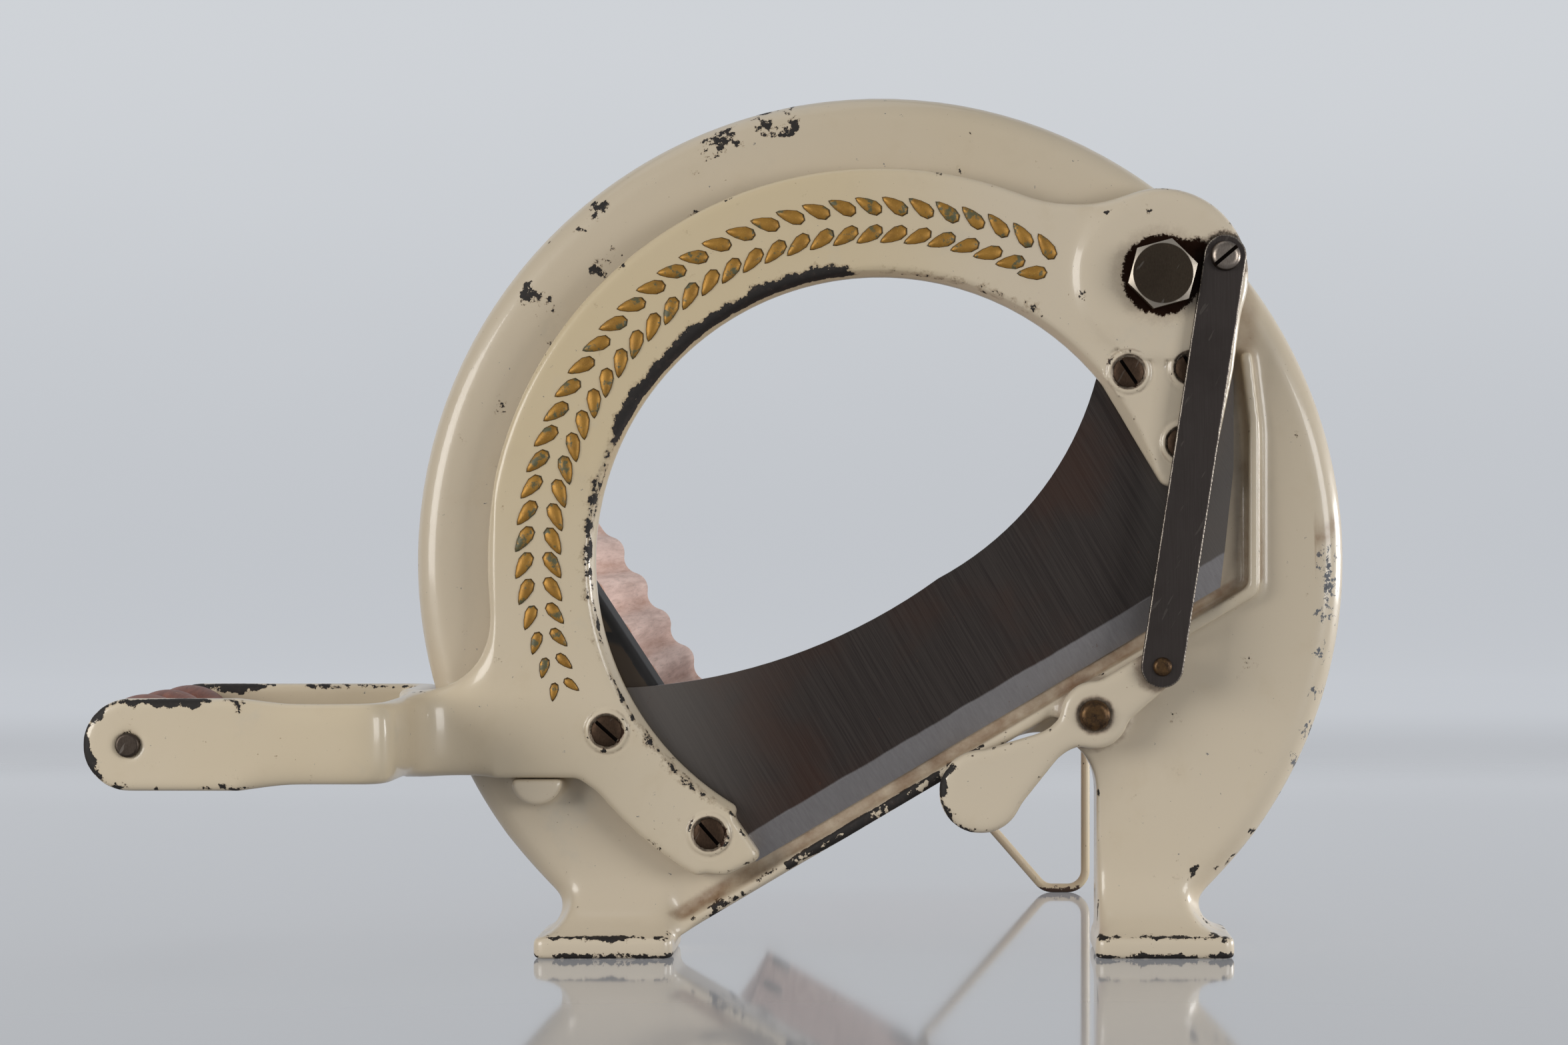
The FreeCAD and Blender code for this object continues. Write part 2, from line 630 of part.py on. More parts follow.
def frame_casting():
    gap_wall = within_hood("GapWall", slab("GapWallBlock", gap_outline(S.lug_thick), FACE,
                                           "Sizes.hood_depth"), "Sizes.hood_depth")
    gap = slab("Gap", gap_outline(0), f"{FACE} - 1", "Sizes.hood_depth + 2")
    below = block("BelowFloor", "3 * Sizes.hood_r", "3 * Sizes.hood_depth", "Sizes.hood_r",
                  "-1.5 * Sizes.hood_r", 0, "-Sizes.hood_r")
    web = cut("FrameWeb", join("FrameSkin", [hood(), apron(), gap_wall] + trough_ribs()),
              [gap, below])
    pivot = barrel("PivotBossBack", "Sizes.pivot_boss_r", "Sizes.hood_depth - Sizes.wall / 2",
                   "Sizes.pivot_x", f"{FACE} + Sizes.wall / 2", "Sizes.pivot_z")
    lever = barrel("LeverBossBack", "Sizes.lever_hub_r - 0.6",
                   f"{BACK} - {LEVER_BACK} - Sizes.end_play",
                   "Sizes.lever_x", f"{LEVER_BACK} + Sizes.end_play", "Sizes.lever_z")
    solid = join("FrameSolid", [web, pivot, lever, ridge(), stop_boss()]
                 + foot("LeftFoot", "foot_left", -1) + foot("RightFoot", "foot_right", 1) + lugs())
    bores = [
        barrel("PivotBore", "Sizes.bolt_d / 2", "3 * Sizes.hood_depth", "Sizes.pivot_x", 0,
               "Sizes.pivot_z"),
        barrel("LeverBore", "Sizes.pin_d / 2", "3 * Sizes.hood_depth", "Sizes.lever_x", 0,
               "Sizes.lever_z"),
    ] + lug_screw_holes()
    return cut("FrameCasting", solid, bores)


# ---- arm -----------------------------------------------------------------

def tangent_hollow(first, first_r, second, second_r, radius, left):
    """An arc of the given radius that touches two circles from outside."""
    centre = meeting(first, first_r + radius, second, second_r + radius, left)
    start = centre + (first - centre).normalize() * radius
    end = centre + (second - centre).normalize() * radius
    middle = (first - centre).normalize() + (second - centre).normalize()
    return Part.Arc(start, centre + middle.normalize() * radius, end), start, end


def arm_plan():
    """Flat pieces that together make the arm's outline."""
    arm = "Sizes.arm_thick"
    ring = sector(S.arm_in_r, S.arm_out_r, S.ring_start, S.ring_end, S.ring_z)
    tail = sector(S.arm_in_r, S.tail_out_r, S.tail_start, S.tail_end, S.ring_z)
    pieces = [slab("RingPart", ring, 0, arm), slab("LowerTail", tail, 0, arm)]
    pieces.append(barrel("PivotBossArm", "Sizes.boss_r", arm, "Sizes.pivot_x", 0, "Sizes.pivot_z"))

    tip = RING + V(-35.8, -91.0, 0)
    heel = rail(rail_u(-51.0, 0), 1.4 - S.rail_rise)
    pieces.append(slab("LowerTip", rounded([
        (-62.0, 44.0, 0), (-45.2, 43.9, 0), (tip.x, tip.y, 1.5), (heel.x, heel.y, 4.5),
        (-57.0, 25.9, 0)]), 0, arm))

    low = S.pivot_z - 64.7
    pieces.append(slab("UpperTail", rounded([
        (57.5, S.pivot_z - 15.0, 0), (87.0, low, 4.0), (101.2, low, 5.5),
        (108.6, S.pivot_z - 29.0, 90.0), (113.0, S.pivot_z + 3.0, 0),
        (S.pivot_x, S.pivot_z + 3.0, 0)]), 0, arm))

    hollow, start, end = tangent_hollow(RING, S.arm_out_r, PIVOT, S.boss_r, S.boss_blend, True)
    inside = RING + (start - RING) * 0.95
    pieces.append(slab("BossBlend", [hollow] + chain([end, PIVOT, inside, start]), 0, arm))
    return pieces + [neck()]


def neck():
    """The neck from the ring to the fork's cross web, with its hollow on top."""
    top = GRIP_TOP
    centre_z = top + S.neck_blend
    aside = math.sqrt((S.arm_out_r + S.neck_blend) ** 2 - (centre_z - S.ring_z) ** 2)
    centre = V(-aside, centre_z, 0)
    on_ring = centre + (RING - centre).normalize() * S.neck_blend
    on_line = V(-aside, top, 0)
    middle = (RING - centre).normalize() + V(0, -1, 0)
    hollow = Part.Arc(on_ring, centre + middle.normalize() * S.neck_blend, on_line)
    web_left = S.web_x - S.web_thick
    bottom = GRIP_BOTTOM
    inside = RING + (on_ring - RING) * 0.9
    corners = [on_line, V(web_left, top, 0), V(web_left, bottom, 0), V(-92.5, bottom, 0),
               V(-84.0, bottom - 6.0, 0), V(-84.0, S.ring_z - 30.0, 0), inside, on_ring]
    return slab("Neck", [hollow] + chain(corners), 0, "Sizes.arm_thick")


def fork():
    """The fork in plan: two plates, the cross web and hollows to the neck."""
    half = S.fork_gap / 2
    out = half + S.fork_plate
    tip = -S.grip_reach - S.fork_height / 2
    left = S.web_x - S.web_thick
    profile = doc.addObject("Sketcher::SketchObject", "ForkPlan")
    inner = 5.0
    neck_end = S.web_x + S.web_blend + 4.0
    profile.addGeometry(rounded([
        (tip, -out, 0), (S.web_x, -out, S.fork_corner), (S.web_x, 0, S.web_blend), (neck_end, 0, 0),
        (neck_end, S.arm_thick, 0), (S.web_x, S.arm_thick, 1.5), (S.web_x, out, S.fork_corner),
        (tip, out, 0), (tip, half, 0), (left, half, inner), (left, -half, inner), (tip, -half, 0)]),
        False)
    place(profile, z=GRIP_BOTTOM)
    solid = doc.addObject("Part::Extrusion", "ForkBlock")
    solid.Base = profile
    solid.DirMode = "Custom"
    solid.Dir = V(0, 0, 1)
    solid.Solid = True
    bind(solid, "LengthFwd", "Sizes.fork_height")
    radius = S.fork_height / 2
    front = [V(-S.grip_reach, GRIP_TOP, 0), V(neck_end, GRIP_TOP, 0), V(neck_end, GRIP_BOTTOM, 0),
             V(-S.grip_reach, GRIP_BOTTOM, 0)]
    outline = chain(front) + [arc(radius, 270, 90, -S.grip_reach, S.grip_z)]
    return common("Fork", solid, slab("ForkFront", outline, f"{FORK_FRONT} - 1",
                                      "Sizes.fork_gap + 2 * Sizes.fork_plate + 2"))


def arm_opening_draft():
    """A cone that widens the ring's opening towards the front."""
    cone = doc.addObject("Part::Cone", "OpeningDraft")
    bind(cone, "Radius1", "Sizes.arm_in_r + Sizes.arm_draft")
    bind(cone, "Radius2", "Sizes.arm_in_r - Sizes.arm_draft")
    bind(cone, "Height", "Sizes.arm_thick")
    return place(cone, 0, 0, "Sizes.ring_z", ALONG_Y)


def cutting_arm():
    flat = join("ArmPlan", arm_plan())
    boss = barrel("BossStep", "Sizes.boss_r - 1.5", "Sizes.boss_raise + 1", "Sizes.pivot_x",
                  "-Sizes.boss_raise", "Sizes.pivot_z")
    collars = [barrel(f"Collar{i}", "Sizes.collar_r", "Sizes.collar_raise + 1", at.x,
                      "-Sizes.collar_raise", at.y) for i, at in enumerate(BLADE_SCREWS)]
    drafted = cut("ArmDrafted", flat, [arm_opening_draft()])
    solid = join("ArmSolid", [drafted, boss, fork()] + collars)
    bores = [
        barrel("ArmPivotBore", "Sizes.bolt_d / 2 + Sizes.run_fit", "2 * Sizes.arm_thick",
               "Sizes.pivot_x", "-Sizes.boss_raise - 1", "Sizes.pivot_z"),
        barrel("CrankBore", "Sizes.link_pin_d / 2", "Sizes.arm_thick", CRANK.x,
               "-Sizes.boss_raise - 1", CRANK.y),
        barrel("RodBore", "Sizes.rod_d / 2", "2 * Sizes.fork_gap", "-Sizes.grip_reach",
               "-Sizes.fork_gap", "Sizes.grip_z"),
    ]
    for i, at in enumerate(BLADE_SCREWS):
        bores.append(barrel(f"ArmScrewHole{i}", "Sizes.screw_d / 2", "2 * Sizes.arm_thick",
                            at.x, -1, at.y))
        bores.append(barrel(f"ScrewSeat{i}", "Sizes.screw_head_r + Sizes.head_gap",
                            "Sizes.screw_head + 1", at.x, "-Sizes.collar_raise - 1", at.y))
    return cut("CuttingArm", solid, bores)


# ---- blade ---------------------------------------------------------------

def blade():
    edge_v = -S.rail_rise
    tip = rail(rail_u(-38.2, edge_v), edge_v)
    heel = rail(rail_u(S.blade_end_x - 4.0, edge_v), edge_v)
    back_low = RING + polar(S.blade_back_r, S.blade_back_end)
    back_high = RING + polar(S.blade_back_r, S.blade_back_start)
    corner = RING + V(-79.5, -39.2, 0)
    waist = RING + V(18.0, -5.4, 0)
    shoulder = RING + V(67.0, 57.0, 0)
    belly = Part.Arc(corner, RING + V(-21.5, -27.0, 0), waist)
    throat = Part.Arc(waist, RING + V(49.0, 20.6, 0), shoulder)
    outline = [arc(S.blade_back_r, S.blade_back_end, S.blade_back_start, 0, S.ring_z)]
    outline += chain([back_high, corner]) + [belly, throat]
    top = S.pivot_z - S.blade_drop
    outline += chain([shoulder, V(71.0, top, 0), V(S.blade_end_x - 4.0, top, 0),
                      V(S.blade_end_x, top - 10.0, 0), V(S.blade_end_x, 150.0, 0), heel, tip,
                      back_low])
    flat = padded("BladeBlank", [outline], "Sizes.arm_thick", "Sizes.blade_thick")

    profile = doc.addObject("Sketcher::SketchObject", "BevelProfile")
    thick, land = S.blade_thick, S.bevel_edge
    profile.addGeometry(chain([V(-1.0, -1.0, 0), V(S.bevel_width, 0, 0), V(0, thick - land, 0),
                               V(-1.0, thick - land, 0), V(-1.0, -1.0, 0)]), False)
    start = rail(rail_u(tip.x, edge_v) - 30.0, edge_v)
    along, up = V(math.cos(RAIL), 0, math.sin(RAIL)), V(-math.sin(RAIL), 0, math.cos(RAIL))
    place(profile, start.x, "Sizes.arm_thick", start.y,
          FreeCAD.Rotation(up, V(0, 1, 0), up.cross(V(0, 1, 0)), "XYZ"))
    bevel = doc.addObject("Part::Extrusion", "Bevel")
    bevel.Base = profile
    bevel.DirMode = "Custom"
    bevel.Dir = along
    bevel.Solid = True
    bind(bevel, "LengthFwd", (heel - start).Length + 20.0)
    holes = [barrel(f"BladeHole{i}", "Sizes.screw_d / 2", "2 * Sizes.arm_thick", at.x, 0, at.y)
             for i, at in enumerate(BLADE_SCREWS)]
    return cut("Blade", flat, [bevel] + holes)


def slotted(name, head_r, head, shank_r, length, at, y, turn, dome):
    """A screw with a slotted head; its head's underside lies at y."""
    screw = turned(name + "Blank", [
        (0, -head, 0), (head_r, -head, dome), (head_r, 0, 0), (shank_r, 0, 0),
        (shank_r, length, 0.4), (0, length, 0)])
    place(screw, at.x, y, at.y)
    slot = block(name + "Slot", 3 * head_r, 0.45 * head, 1.1, 0, 0, 0)
    direction = FreeCAD.Rotation(V(0, 1, 0), turn)
    corner = direction.multVec(V(-1.5 * head_r, 0, -0.55))
    place(slot, at.x + corner.x, f"{y} - {head}", at.y + corner.z, direction)
    return cut(name, screw, [slot])


def blade_screws():
    group = doc.addObject("Part::Compound", "BladeScrews")
    depth = number("Sizes.arm_thick + Sizes.blade_thick - Sizes.screw_head + Sizes.collar_raise")
    group.Links = [slotted(f"BladeScrew{i}", S.screw_head_r, S.screw_head, S.screw_d / 2, depth, at,
                           "Sizes.screw_head - Sizes.collar_raise", 45.0 + 4.0 * i, 0.5)
                   for i, at in enumerate(BLADE_SCREWS)]
    return group


# ---- pivot ---------------------------------------------------------------

def hexagon(name, height, y):
    """A hexagonal prism along y at the main pivot."""
    prism = doc.addObject("Part::Prism", name)
    prism.Polygon = 6
    bind(prism, "Circumradius", S.bolt_flats / math.sqrt(3))
    bind(prism, "Height", height)
    turn = FreeCAD.Rotation(V(0, 1, 0), -S.bolt_turn).multiply(ALONG_Y)
    return place(prism, "Sizes.pivot_x", y, "Sizes.pivot_z", turn)


def pivot_bolt():
    corner_r = S.bolt_flats / math.sqrt(3) + 0.05
    total = number(f"{BACK} + Sizes.washer_thick + Sizes.nut_height + 3 + Sizes.boss_raise")
    blank = turned("BoltBlank", [
        (0, -S.bolt_head, 0), (S.bolt_flats / 2 - 0.4, -S.bolt_head, 0),
        (corner_r, 1.0 - S.bolt_head, 0), (corner_r, 0, 0), (S.bolt_d / 2, 0, 0),
        (S.bolt_d / 2, total, 1.0), (0, total, 0)])
    place(blank, "Sizes.pivot_x", "-Sizes.boss_raise", "Sizes.pivot_z")
    head = hexagon("BoltHexagon", "Sizes.bolt_head", "-Sizes.boss_raise - Sizes.bolt_head")
    shank = barrel("BoltShank", "Sizes.bolt_d / 2", total, "Sizes.pivot_x", "-Sizes.boss_raise",
                   "Sizes.pivot_z")
    return common("PivotBolt", blank, join("BoltLimits", [head, shank]))


def pivot_nut():
    front = f"{BACK} + Sizes.washer_thick"
    nut = hexagon("NutHexagon", "Sizes.nut_height", front)
    bore = barrel("NutBore", "Sizes.bolt_d / 2", "2 * Sizes.nut_height", "Sizes.pivot_x",
                  f"{front} - 1", "Sizes.pivot_z")
    return cut("PivotNut", nut, [bore])


def ring_washer(name, inner, outer, thick):
    return turned(name, [(inner, 0, 0), (outer, 0, 0.3), (outer, thick, 0.3), (inner, thick, 0)])


# ---- link and lever ------------------------------------------------------

def link_bar():
    line = RIVET - CRANK
    heading = math.degrees(math.atan2(line.y, line.x))
    half = S.link_width / 2
    across = V(-line.y, line.x, 0).normalize() * half
    outline = [arc(half, heading + 90, heading + 270, CRANK.x, CRANK.y),
               Part.LineSegment(CRANK - across, RIVET - across),
               arc(half, heading - 90, heading + 90, RIVET.x, RIVET.y),
               Part.LineSegment(RIVET + across, CRANK + across)]
    return padded("LinkBar", [outline, hole(CRANK.x, CRANK.y, S.link_pin_d / 2 + S.run_fit),
                              hole(RIVET.x, RIVET.y, S.rivet_d / 2)], LINK_FRONT, "Sizes.link_thick")


def link_screw():
    head_y = f"{LINK_FRONT} - Sizes.end_play"
    depth = S.link_thick + S.link_gap + S.end_play + 7.0
    return slotted("LinkScrew", S.link_head_r, S.link_head, S.link_pin_d / 2, depth, CRANK, head_y,
                   -40.0, 2.0)


def link_rivet():
    """Headed over the link bar, riveted over the washer behind the lever's lug."""
    reach = number(f"{LEVER_BACK} - {LINK_FRONT}") + S.end_play + S.small_washer
    tail = S.rivet_d / 2 + 0.6
    return turned("LinkRivet", [
        (0, -S.rivet_head, 0), (S.rivet_head_r, -S.rivet_head, 1.4), (S.rivet_head_r, 0, 0),
        (S.rivet_d / 2, 0, 0), (S.rivet_d / 2, reach, 0), (tail, reach, 0), (tail, reach + 0.5, 0.3),
        (0, reach + 0.5, 0)])


def paddle_lever():
    """Hub, lug and paddle of the slice stop, joined by two necks."""
    thick = "Sizes.lever_thick"
    to_paddle = (PADDLE - LEVER).normalize()
    aside = V(-to_paddle.y, to_paddle.x, 0)
    neck_half = S.lever_neck / 2
    to_lug = (RIVET - LEVER).normalize()
    lug_aside = V(-to_lug.y, to_lug.x, 0)
    hub = barrel("LeverHub", "Sizes.lever_hub_r", thick, "Sizes.lever_x", LEVER_FRONT,
                 "Sizes.lever_z")
    lug = barrel("LeverLug", "Sizes.lever_lug_r", thick, RIVET.x, LEVER_FRONT, RIVET.y)
    lug_neck = [LEVER + lug_aside * S.lever_hub_r * 0.8, RIVET + lug_aside * S.lever_lug_r * 0.95,
                RIVET - lug_aside * S.lever_lug_r * 0.95, LEVER - lug_aside * S.lever_hub_r * 0.8]
    paddle = barrel("Paddle", "Sizes.paddle_r", thick, PADDLE.x, LEVER_FRONT, PADDLE.y)
    shoulder = PADDLE + to_paddle * (-S.paddle_r * 0.6)
    paddle_neck = rounded([(p.x, p.y, radius) for p, radius in (
        (LEVER + aside * S.lever_hub_r * 0.8, 0),
        (LEVER + to_paddle * S.lever_waist + aside * neck_half, S.lever_waist),
        (shoulder + aside * S.paddle_r * 0.8, 0),
        (shoulder - aside * S.paddle_r * 0.8, 0),
        (LEVER + to_paddle * S.lever_waist - aside * neck_half, S.lever_waist),
        (LEVER - aside * S.lever_hub_r * 0.8, 0))])
    solid = join("LeverSolid", [
        hub, lug, slab("LugNeck", chain(lug_neck + lug_neck[:1]), LEVER_FRONT, thick), paddle,
        slab("PaddleNeck", paddle_neck, LEVER_FRONT, thick)])
    return cut("PaddleLever", solid, [
        barrel("LeverPinBore", "Sizes.pin_d / 2 + Sizes.run_fit", "4 * Sizes.lever_thick",
               "Sizes.lever_x", "-2 * Sizes.lever_thick", "Sizes.lever_z"),
        barrel("RivetRoom", "Sizes.rivet_d / 2 + Sizes.rivet_room", "4 * Sizes.lever_thick",
               RIVET.x, "-2 * Sizes.lever_thick", RIVET.y)])


def paddle_pin():
    """Headed in front of the lever, riveted over a washer behind the frame."""
    reach = number(f"{BACK} + Sizes.small_washer - {LEVER_FRONT} + Sizes.end_play")
    tail = S.pin_d / 2 + 0.8
    return turned("PaddlePin", [
        (0, -S.pin_head, 0), (S.pin_head_r, -S.pin_head, 2.2), (S.pin_head_r, 0, 0),
        (S.pin_d / 2, 0, 0), (S.pin_d / 2, reach, 0), (tail, reach, 0), (tail, reach + 0.8, 0.5),
        (0, reach + 0.8, 0)])


# ---- grip ----------------------------------------------------------------

def grip():
    """A turned wooden grip with three swells."""
    length = S.fork_gap - 2 * S.grip_play
    bore = S.rod_d / 2 + S.run_fit
    end_r = S.grip_waist + 0.6
    swell = length / 3
    points = [V(bore, 0, 0), V(end_r, 0, 0)]
    edges = chain(points)
    here = points[-1]
    for i in range(3):
        following = V(S.grip_waist if i < 2 else end_r, (i + 1) * swell, 0)
        edges.append(Part.Arc(here, V(S.grip_r, (i + 0.5) * swell, 0), following))
        here = following
    edges += chain([here, V(bore, length, 0), V(bore, 0, 0)])
    body = doc.addObject("PartDesign::Body", "Grip")
    sketch = body.newObject("Sketcher::SketchObject", "GripProfile")
    planes = {feature.Role: feature for feature in body.Origin.OriginFeatures}
    sketch.AttachmentSupport = [(planes["XY_Plane"], "")]
    sketch.MapMode = "FlatFace"
    sketch.addGeometry(edges, False)
    spin = body.newObject("PartDesign::Revolution", "GripTurn")
    spin.Profile = sketch
    spin.ReferenceAxis = (sketch, ["V_Axis"])
    spin.Angle = 360
    body.Tip = spin
    return body


def grip_rod():
    """A rod through both fork plates, its ends riveted to round heads."""
    span = S.fork_gap + 2 * S.fork_plate
    radius = S.rod_d / 2
    return turned("GripRod", [
        (0, -S.rod_head, 0), (S.rod_head_r, -S.rod_head, 0.9), (S.rod_head_r, 0, 0), (radius, 0, 0),
        (radius, span, 0), (S.rod_head_r, span, 0), (S.rod_head_r, span + S.rod_head, 0.9),
        (0, span + S.rod_head, 0)])


# ---- trough --------------------------------------------------------------

def ribs(line, start, count):
    """A smooth wave of ribs along a board, four arcs to each, from its land onwards."""
    edges = []
    quarter, half_height = S.rib_pitch / 4, S.rib_height / 2
    radius = (quarter ** 2 + half_height ** 2) / (2 * half_height)
    turn = math.asin(quarter / radius) / 2
    aside, drop = radius * math.sin(turn), radius * (1 - math.cos(turn))
    for i in range(int(count)):
        u = start + i * S.rib_pitch
        crest = u + 2 * quarter
        end = u + S.rib_pitch
        low = -S.rib_height
        edges.append(Part.Arc(line(u, low), line(u + aside, low + drop),
                              line(u + quarter, -half_height)))
        edges.append(Part.Arc(line(u + quarter, -half_height), line(crest - aside, -drop),
                              line(crest, 0)))
        edges.append(Part.Arc(line(crest, 0), line(crest + aside, -drop),
                              line(end - quarter, -half_height)))
        edges.append(Part.Arc(line(end - quarter, -half_height), line(end - aside, low + drop),
                              line(end, low)))
    return edges


BOTH = RAIL + SIDE


def side_on_base(v):
    """Where the side board's line at depth v stands on the base board."""
    return (-S.rib_height - v * math.cos(BOTH)) / math.sin(BOTH)


def side_board():
    low, deep = -S.rib_height, -S.board_thick
    top = S.land + S.side_ribs * S.rib_pitch
    edges = chain([side(side_on_base(deep), deep), side(side_on_base(low), low), side(S.land, low)])
    edges += ribs(side, S.land, S.side_ribs)
    edges += chain([side(top, low), side(top + S.land, low), side(top + S.land, deep),
                    side(side_on_base(deep), deep)])
    board = padded("SideBoardBlank", [edges], BOARD_FRONT, "Sizes.board_length")
    return cut("SideBoard", board, board_screw_holes("Side", side) + corner_screw_holes("Side"))


def base_left():
    """The base board's left end, flush with the side board's outer face."""
    outer = side(side_on_base(-S.board_thick), -S.board_thick) - TROUGH
    return outer.x * math.cos(RAIL) + outer.y * math.sin(RAIL)


def base_board():
    low, deep = -S.rib_height, -S.board_thick
    end = 2 * S.land + S.base_ribs * S.rib_pitch
    edges = chain([rail(base_left(), deep), rail(base_left(), low), rail(S.land, low)])
    edges += ribs(rail, S.land, S.base_ribs)
    edges += chain([rail(end - S.land, low), rail(end, low), rail(end, deep),
                    rail(base_left(), deep)])
    board = padded("BaseBoardBlank", [edges], BOARD_FRONT, "Sizes.board_length")
    return cut("BaseBoard", board, board_screw_holes("Base", rail) + corner_screw_holes("Base")
               + saddle_screw_holes())


def board_screw_holes(name, board):
    return [screw_in_board(f"{name}LugScrewHole{i}", "Sizes.wood_screw_d / 2", line, u,
                           -S.board_thick - 1.0, S.wood_screw_bite + 1.0)
            for i, (_, line, u) in enumerate(LUGS) if line is board]


def headed(name, line, u, v, length, shank, head_r, head, y=None):
    """A round-headed screw under a board; its head's flat side lies at v."""
    pieces = [screw_in_board(name + "Shank", shank, line, u, v, length, y),
              screw_in_board(name + "Head", head_r, line, u, v - head, head, y)]
    return join(name, pieces)


def frame_screws():
    group = doc.addObject("Part::Compound", "FrameScrews")
    length = S.lug_thick + S.board_gap + S.wood_screw_bite
    group.Links = [headed(f"FrameScrew{i}", line, u, LUG_V, length, "Sizes.wood_screw_d / 2",
                          "Sizes.wood_screw_head_r", S.wood_screw_head)
                   for i, (_, line, u) in enumerate(LUGS)]
    return group


CORNER_U = base_left() / 2
CORNER_LENGTH = S.board_thick - S.rib_height + S.corner_bite
CORNER_Y = [f"({BOARD_FRONT} + Sizes.board_length * {share})" for share in (0.12, 0.5, 0.88)]


def corner_screw_holes(name):
    return [screw_in_board(f"{name}CornerHole{i}", "Sizes.wood_screw_d / 2", rail, CORNER_U,
                           -S.board_thick, CORNER_LENGTH, y) for i, y in enumerate(CORNER_Y)]


def corner_screws():
    group = doc.addObject("Part::Compound", "CornerScrews")
    group.Links = [headed(f"CornerScrew{i}", rail, CORNER_U, -S.board_thick, CORNER_LENGTH,
                          "Sizes.wood_screw_d / 2", "Sizes.wood_screw_head_r", S.wood_screw_head, y)
                   for i, y in enumerate(CORNER_Y)]
    return group


# ---- wire foot -----------------------------------------------------------

WIRE_R = S.wire_d / 2
WIRE_V = -S.board_thick - WIRE_R
SADDLE_Y = f"({WIRE_PLANE} - Sizes.wire_run + Sizes.saddle_width / 2 + 3)"
SADDLE_INNER = WIRE_R + S.saddle_room
SADDLE_OUTER = SADDLE_INNER + S.saddle_thick


def branch_u():
    return [rail_u(S.wire_left_x, WIRE_V), rail_u(S.wire_right_x, WIRE_V)]


def wire_foot():
    """One bent wire: two ends under the board and a loop down to the floor."""
    back = number(WIRE_PLANE)
    front = back - S.wire_run
    left, right = (rail(u, WIRE_V) for u in branch_u())
    points = [V(left.x, front, left.y), V(left.x, back, left.y), V(S.wire_toe_x, back, WIRE_R),
              V(right.x, back, WIRE_R), V(right.x, back, right.y), V(right.x, front, right.y)]
    edges = []
    here = points[0]
    for before, corner, after in zip(points, points[1:], points[2:]):
        back_way, ahead = (before - corner).normalize(), (after - corner).normalize()
        half = back_way.getAngle(ahead) / 2
        reach = S.wire_bend / math.tan(half)
        middle = (back_way + ahead).normalize()
        deep = corner + middle * (S.wire_bend / math.sin(half) - S.wire_bend)
        start, end = corner + back_way * reach, corner + ahead * reach
        edges += [Part.LineSegment(here, start).toShape(), Part.Arc(start, deep, end).toShape()]
        here = end
    edges.append(Part.LineSegment(here, points[-1]).toShape())
    section = Part.Wire([Part.Circle(points[0], V(0, 1, 0), WIRE_R).toShape()])
    wire = doc.addObject("Part::Feature", "WireFoot")
    wire.Shape = Part.Wire(edges).makePipeShell([section], True, False, 2)
    return wire


def saddle_profile(u):
    """A strap over the wire, with a flat wing on each side."""
    inner, outer = SADDLE_INNER, SADDLE_OUTER
    top, under = -S.board_thick, -S.board_thick - S.saddle_thick
    left = [rail(u - outer, WIRE_V), rail(u - outer, under), rail(u - S.saddle_span, under),
            rail(u - S.saddle_span, top), rail(u - inner, top), rail(u - inner, WIRE_V)]
    right = [rail(u + inner, WIRE_V), rail(u + inner, top), rail(u + S.saddle_span, top),
             rail(u + S.saddle_span, under), rail(u + outer, under), rail(u + outer, WIRE_V)]
    return chain(left) + [Part.Arc(left[-1], rail(u, WIRE_V - inner), right[0])] + chain(right) \
        + [Part.Arc(right[-1], rail(u, WIRE_V - outer), left[0])]


def saddle_screw_places():
    aside = (SADDLE_OUTER + S.saddle_span) / 2
    return [u + way * aside for u in branch_u() for way in (-1, 1)]


def saddle_screw_holes():
    return [screw_in_board(f"SaddleBoardHole{i}", "Sizes.saddle_screw_d / 2", rail, u,
                           -S.board_thick - 1.0, S.saddle_bite + 1.0, SADDLE_Y)
            for i, u in enumerate(saddle_screw_places())]


def foot_saddles():
    group = doc.addObject("Part::Compound", "FootSaddles")
    straps = []
    for i, u in enumerate(branch_u()):
        strap = slab(f"Saddle{i}Strap", saddle_profile(u), f"{SADDLE_Y} - Sizes.saddle_width / 2",
                     "Sizes.saddle_width")
        holes = [screw_in_board(f"Saddle{i}Hole{k}", "Sizes.saddle_screw_d / 2", rail, at,
                                -S.board_thick - S.saddle_thick - 1.0, S.saddle_thick + 2.0, SADDLE_Y)
                 for k, at in enumerate(saddle_screw_places()[2 * i:2 * i + 2])]
        straps.append(cut(f"Saddle{i}", strap, holes))
    group.Links = straps
    return group


def saddle_screws():
    group = doc.addObject("Part::Compound", "SaddleScrews")
    group.Links = [headed(f"SaddleScrew{i}", rail, u, -S.board_thick - S.saddle_thick,
                          S.saddle_thick + S.saddle_bite, "Sizes.saddle_screw_d / 2",
                          "Sizes.saddle_head_r", S.saddle_head, SADDLE_Y)
                   for i, u in enumerate(saddle_screw_places())]
    return group


# ---- the pieces ----------------------------------------------------------

